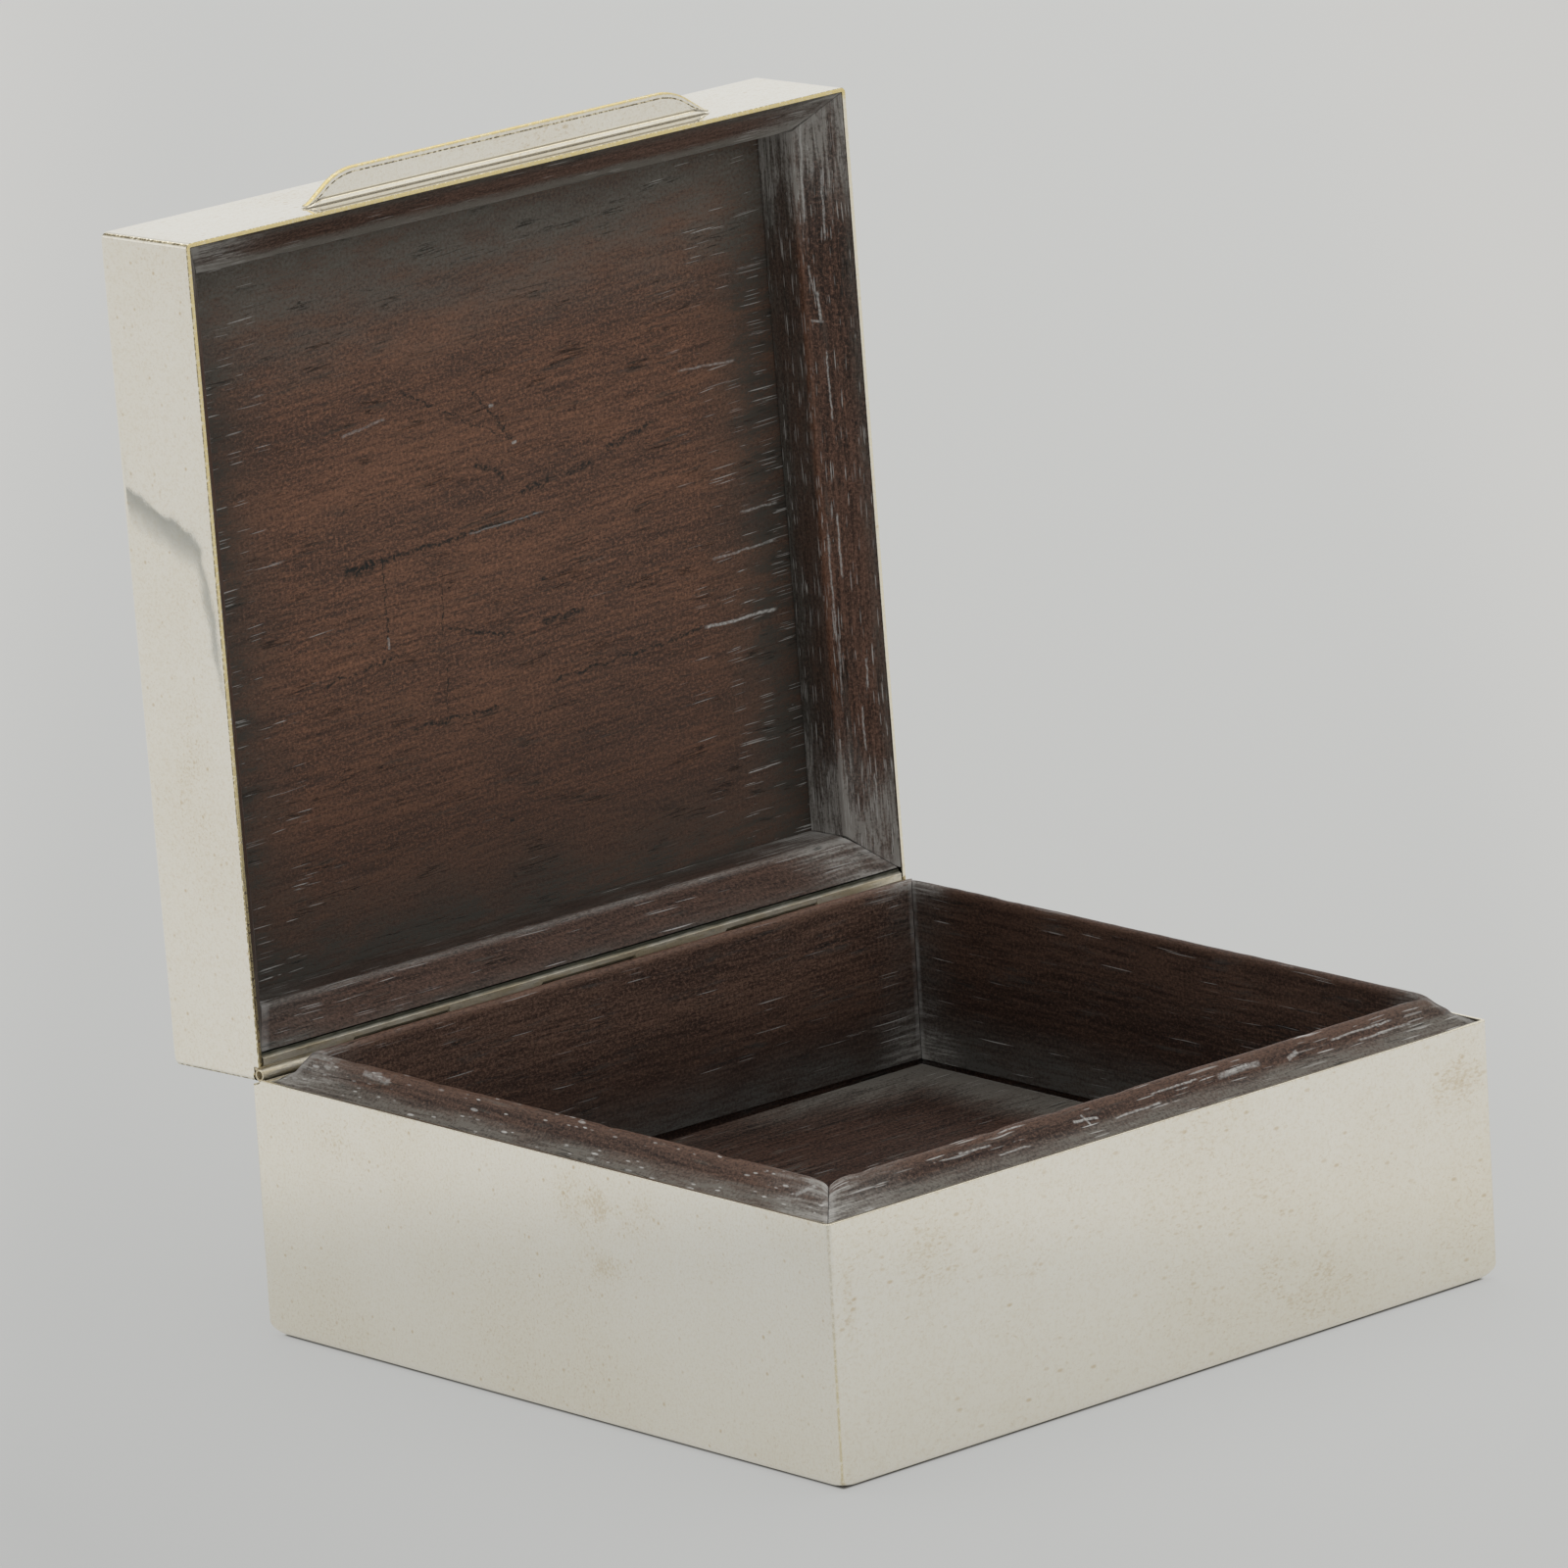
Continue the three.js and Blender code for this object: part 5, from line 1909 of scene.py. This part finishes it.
def paper_finish():
    """Matt pale paper that keeps the box's shadow, and a pale ground in view and in reflections."""
    look = bpy.context.scene.cigar_box_stage
    finish = Finish("Paper")
    x, y, _ = finish.split(finish.place())
    away = x * (math.sin(look.azimuth) * MM) + y * (math.cos(look.azimuth) * MM)
    aside = x * (math.cos(look.azimuth) * MM) - y * (math.sin(look.azimuth) * MM)
    share = (away * GROUND_BACK + aside * GROUND_RIGHT - GROUND_START) / GROUND_RUN
    share = share.most(0).least(1) ** GROUND_POWER
    # Painted light and shade on the ground: darker at the front left, lighter behind and to the right.
    ground = finish.mix(share, look.shaded_near_ground, look.lit_far_ground)
    on_right, on_left = GROUND_BESIDE
    beside = aside.between(*on_right).most(aside.between(*on_left))
    ground = finish.mix(beside, ground, look.side_ground)
    finish.surface(Base_Color=look.paper, Roughness=0.9, Specular_IOR_Level=0.1)
    _, high = size_box("base_case")
    inset = bpy.context.scene.cigar_box_silver.foot_radius / MM
    beyond_x = (abs(x) - (high.x - inset)).most(0)
    beyond_y = (abs(y) - (high.y - inset)).most(0)
    beyond = (beyond_x * beyond_x + beyond_y * beyond_y) ** 0.5
    # Close to the foot only the lit paper shows, with the shadow under the rounded edge.
    ground_share = look.glow * beyond.between(0.0, FOOT_SHADOW)
    rays = finish.node("ShaderNodeLightPath", output="Is Camera Ray")
    seen = rays.most(rays.other("Is Glossy Ray")).most(rays.other("Is Transmission Ray"))
    pale = finish.node("ShaderNodeEmission", None, {"Color": ground})
    lit = Wire(finish, finish.shader.outputs[0])
    both = finish.node("ShaderNodeMixShader", None, {0: seen * ground_share, 1: lit, 2: pale})
    finish.feed(finish.output.inputs["Surface"], both)
    return finish.material


def card_finish():
    """Grey card that fades out to one side."""
    look = bpy.context.scene.cigar_box_stage
    finish = Finish("Grey card")
    strength, _, _ = finish.split(finish.mark("wear"))
    return finish.surface(Base_Color=look.card, Roughness=0.9, Alpha=strength)


class CIGARBOX_OT_stage(bpy.types.Operator):
    """Makes the floor, the light and the camera"""

    bl_idname = "cigar_box.stage"
    bl_label = "Stage"

    def execute(self, context):
        look = context.scene.cigar_box_stage
        shape = Shape()
        centre = shape.point((0, 0, 0))
        rings = []
        angles = [step / FLOOR_STEPS * 2 * math.pi for step in range(FLOOR_STEPS)]
        for reach in FLOOR_RINGS:
            places = [(reach * math.cos(angle), reach * math.sin(angle), 0) for angle in angles]
            rings.append(shape.row([(place,) for place in places]))
        for index, number in enumerate(rings[0]):
            shape.faces.append((centre, number, rings[0][(index + 1) % len(rings[0])]))
        for lower, upper in zip(rings, rings[1:]):
            shape.bridge(lower, upper)
        floor = shape.piece("paper_floor")
        if floor.data.polygons[0].normal.z < 0:
            floor.data.flip_normals()
        floor.data.materials.append(paper_finish())

        shape = Shape()
        sharp = shape.row([((x, y, 1), None, (1, 0, 0)) for x, y in CARD_SHARP])
        faded = shape.row([((x, y, 1), None, (0, 0, 0)) for x, y in CARD_FADED])
        shape.bridge(sharp, faded, closed=False)
        card = shape.piece("grey_card")
        card.data.materials.append(card_finish())
        card.visible_camera = card.visible_diffuse = card.visible_shadow = False

        world = bpy.data.worlds.new("Pale room")
        world.use_nodes = True
        draw = Drawing(world.node_tree)
        x, y, height = draw.split(draw.node("ShaderNodeTexCoord", output="Generated"))
        room = draw.mix(height.between(0.05, 0.75), look.horizon, look.zenith)
        # A reflection of the lamp shows the lamp alone, without the ceiling behind it.
        lamp_way = LAMP_PLACE.normalized()
        lamp_edge = LAMP_PLACE.length / math.hypot(LAMP_PLACE.length, LAMP_RADIUS)
        toward_lamp = x * lamp_way.x + y * lamp_way.y + height * lamp_way.z
        reflected = draw.node("ShaderNodeLightPath", output="Is Glossy Ray")
        hidden = toward_lamp.between(lamp_edge - LAMP_BORDER, lamp_edge + LAMP_BORDER) * reflected
        room = draw.mix(hidden, room, (0.0, 0.0, 0.0))
        draw.feed(world.node_tree.nodes["Background"].inputs["Color"], room)
        context.scene.world = world

        lamp = bpy.data.lights.new("Soft lamp", "AREA")
        lamp.shape = "DISK"
        lamp.size = 2 * LAMP_RADIUS
        lamp.energy = look.lamp_power
        holder = bpy.data.objects.new("Soft lamp", lamp)
        holder.location = LAMP_PLACE
        holder.rotation_euler = (-LAMP_PLACE).to_track_quat("-Z", "Y").to_euler()
        context.scene.collection.objects.link(holder)

        data = bpy.data.cameras.new("Camera")
        data.lens = look.lens
        data.sensor_width = 36
        data.clip_start = 0.05
        camera = bpy.data.objects.new("Camera", data)
        level = Vector((math.sin(look.azimuth), math.cos(look.azimuth), 0))
        forward = level * math.cos(look.dip) - Vector((0, 0, math.sin(look.dip)))
        right = forward.cross(Vector((0, 0, 1))).normalized()
        right = Quaternion(forward, look.roll) @ right
        up = right.cross(forward)
        turn = Matrix((right, up, -forward)).transposed().to_4x4()
        camera.matrix_world = Matrix.Translation(look.camera_place) @ turn
        context.scene.collection.objects.link(camera)
        context.scene.camera = camera
        context.scene.view_settings.view_transform = "Standard"
        return {"FINISHED"}


# Add-on

OPERATORS = (
    CIGARBOX_OT_stage,
    CIGARBOX_OT_base_case,
    CIGARBOX_OT_base_lining,
    CIGARBOX_OT_floor_panel,
    CIGARBOX_OT_underside,
    CIGARBOX_OT_lid_case,
    CIGARBOX_OT_lid_panel,
    CIGARBOX_OT_lid_lining,
    CIGARBOX_OT_thumb_piece,
    CIGARBOX_OT_hinge,
)


class CIGARBOX_PT_panel(bpy.types.Panel):
    """Lists the steps that make the cigar box"""

    bl_idname = "CIGARBOX_PT_panel"
    bl_label = "Cigar box"
    bl_space_type = "VIEW_3D"
    bl_region_type = "UI"
    bl_category = "Cigar box"

    def draw(self, context):
        for operator in OPERATORS:
            self.layout.operator(operator.bl_idname)
        for group in SETTINGS:
            box = self.layout.box()
            settings = getattr(context.scene, group)
            for key in settings.__annotations__:
                box.prop(settings, key)


SETTINGS = {
    "cigar_box_silver": SilverSettings,
    "cigar_box_lining": LiningSettings,
    "cigar_box_hinge": HingeSettings,
    "cigar_box_stage": StageSettings,
}
CLASSES = (*SETTINGS.values(), *OPERATORS, CIGARBOX_PT_panel)


def register():
    """Adds the settings, the operators and the panel."""
    for item in CLASSES:
        bpy.utils.register_class(item)
    for name, group in SETTINGS.items():
        setattr(bpy.types.Scene, name, PointerProperty(type=group))


def unregister():
    """Takes away what register added."""
    for name in SETTINGS:
        delattr(bpy.types.Scene, name)
    for item in reversed(CLASSES):
        bpy.utils.unregister_class(item)


def main():
    """Makes the whole box in order."""
    register()
    for operator in OPERATORS:
        step = operator.bl_idname.split(".")[1]
        getattr(bpy.ops.cigar_box, step)()


if __name__ == "__main__":
    main()
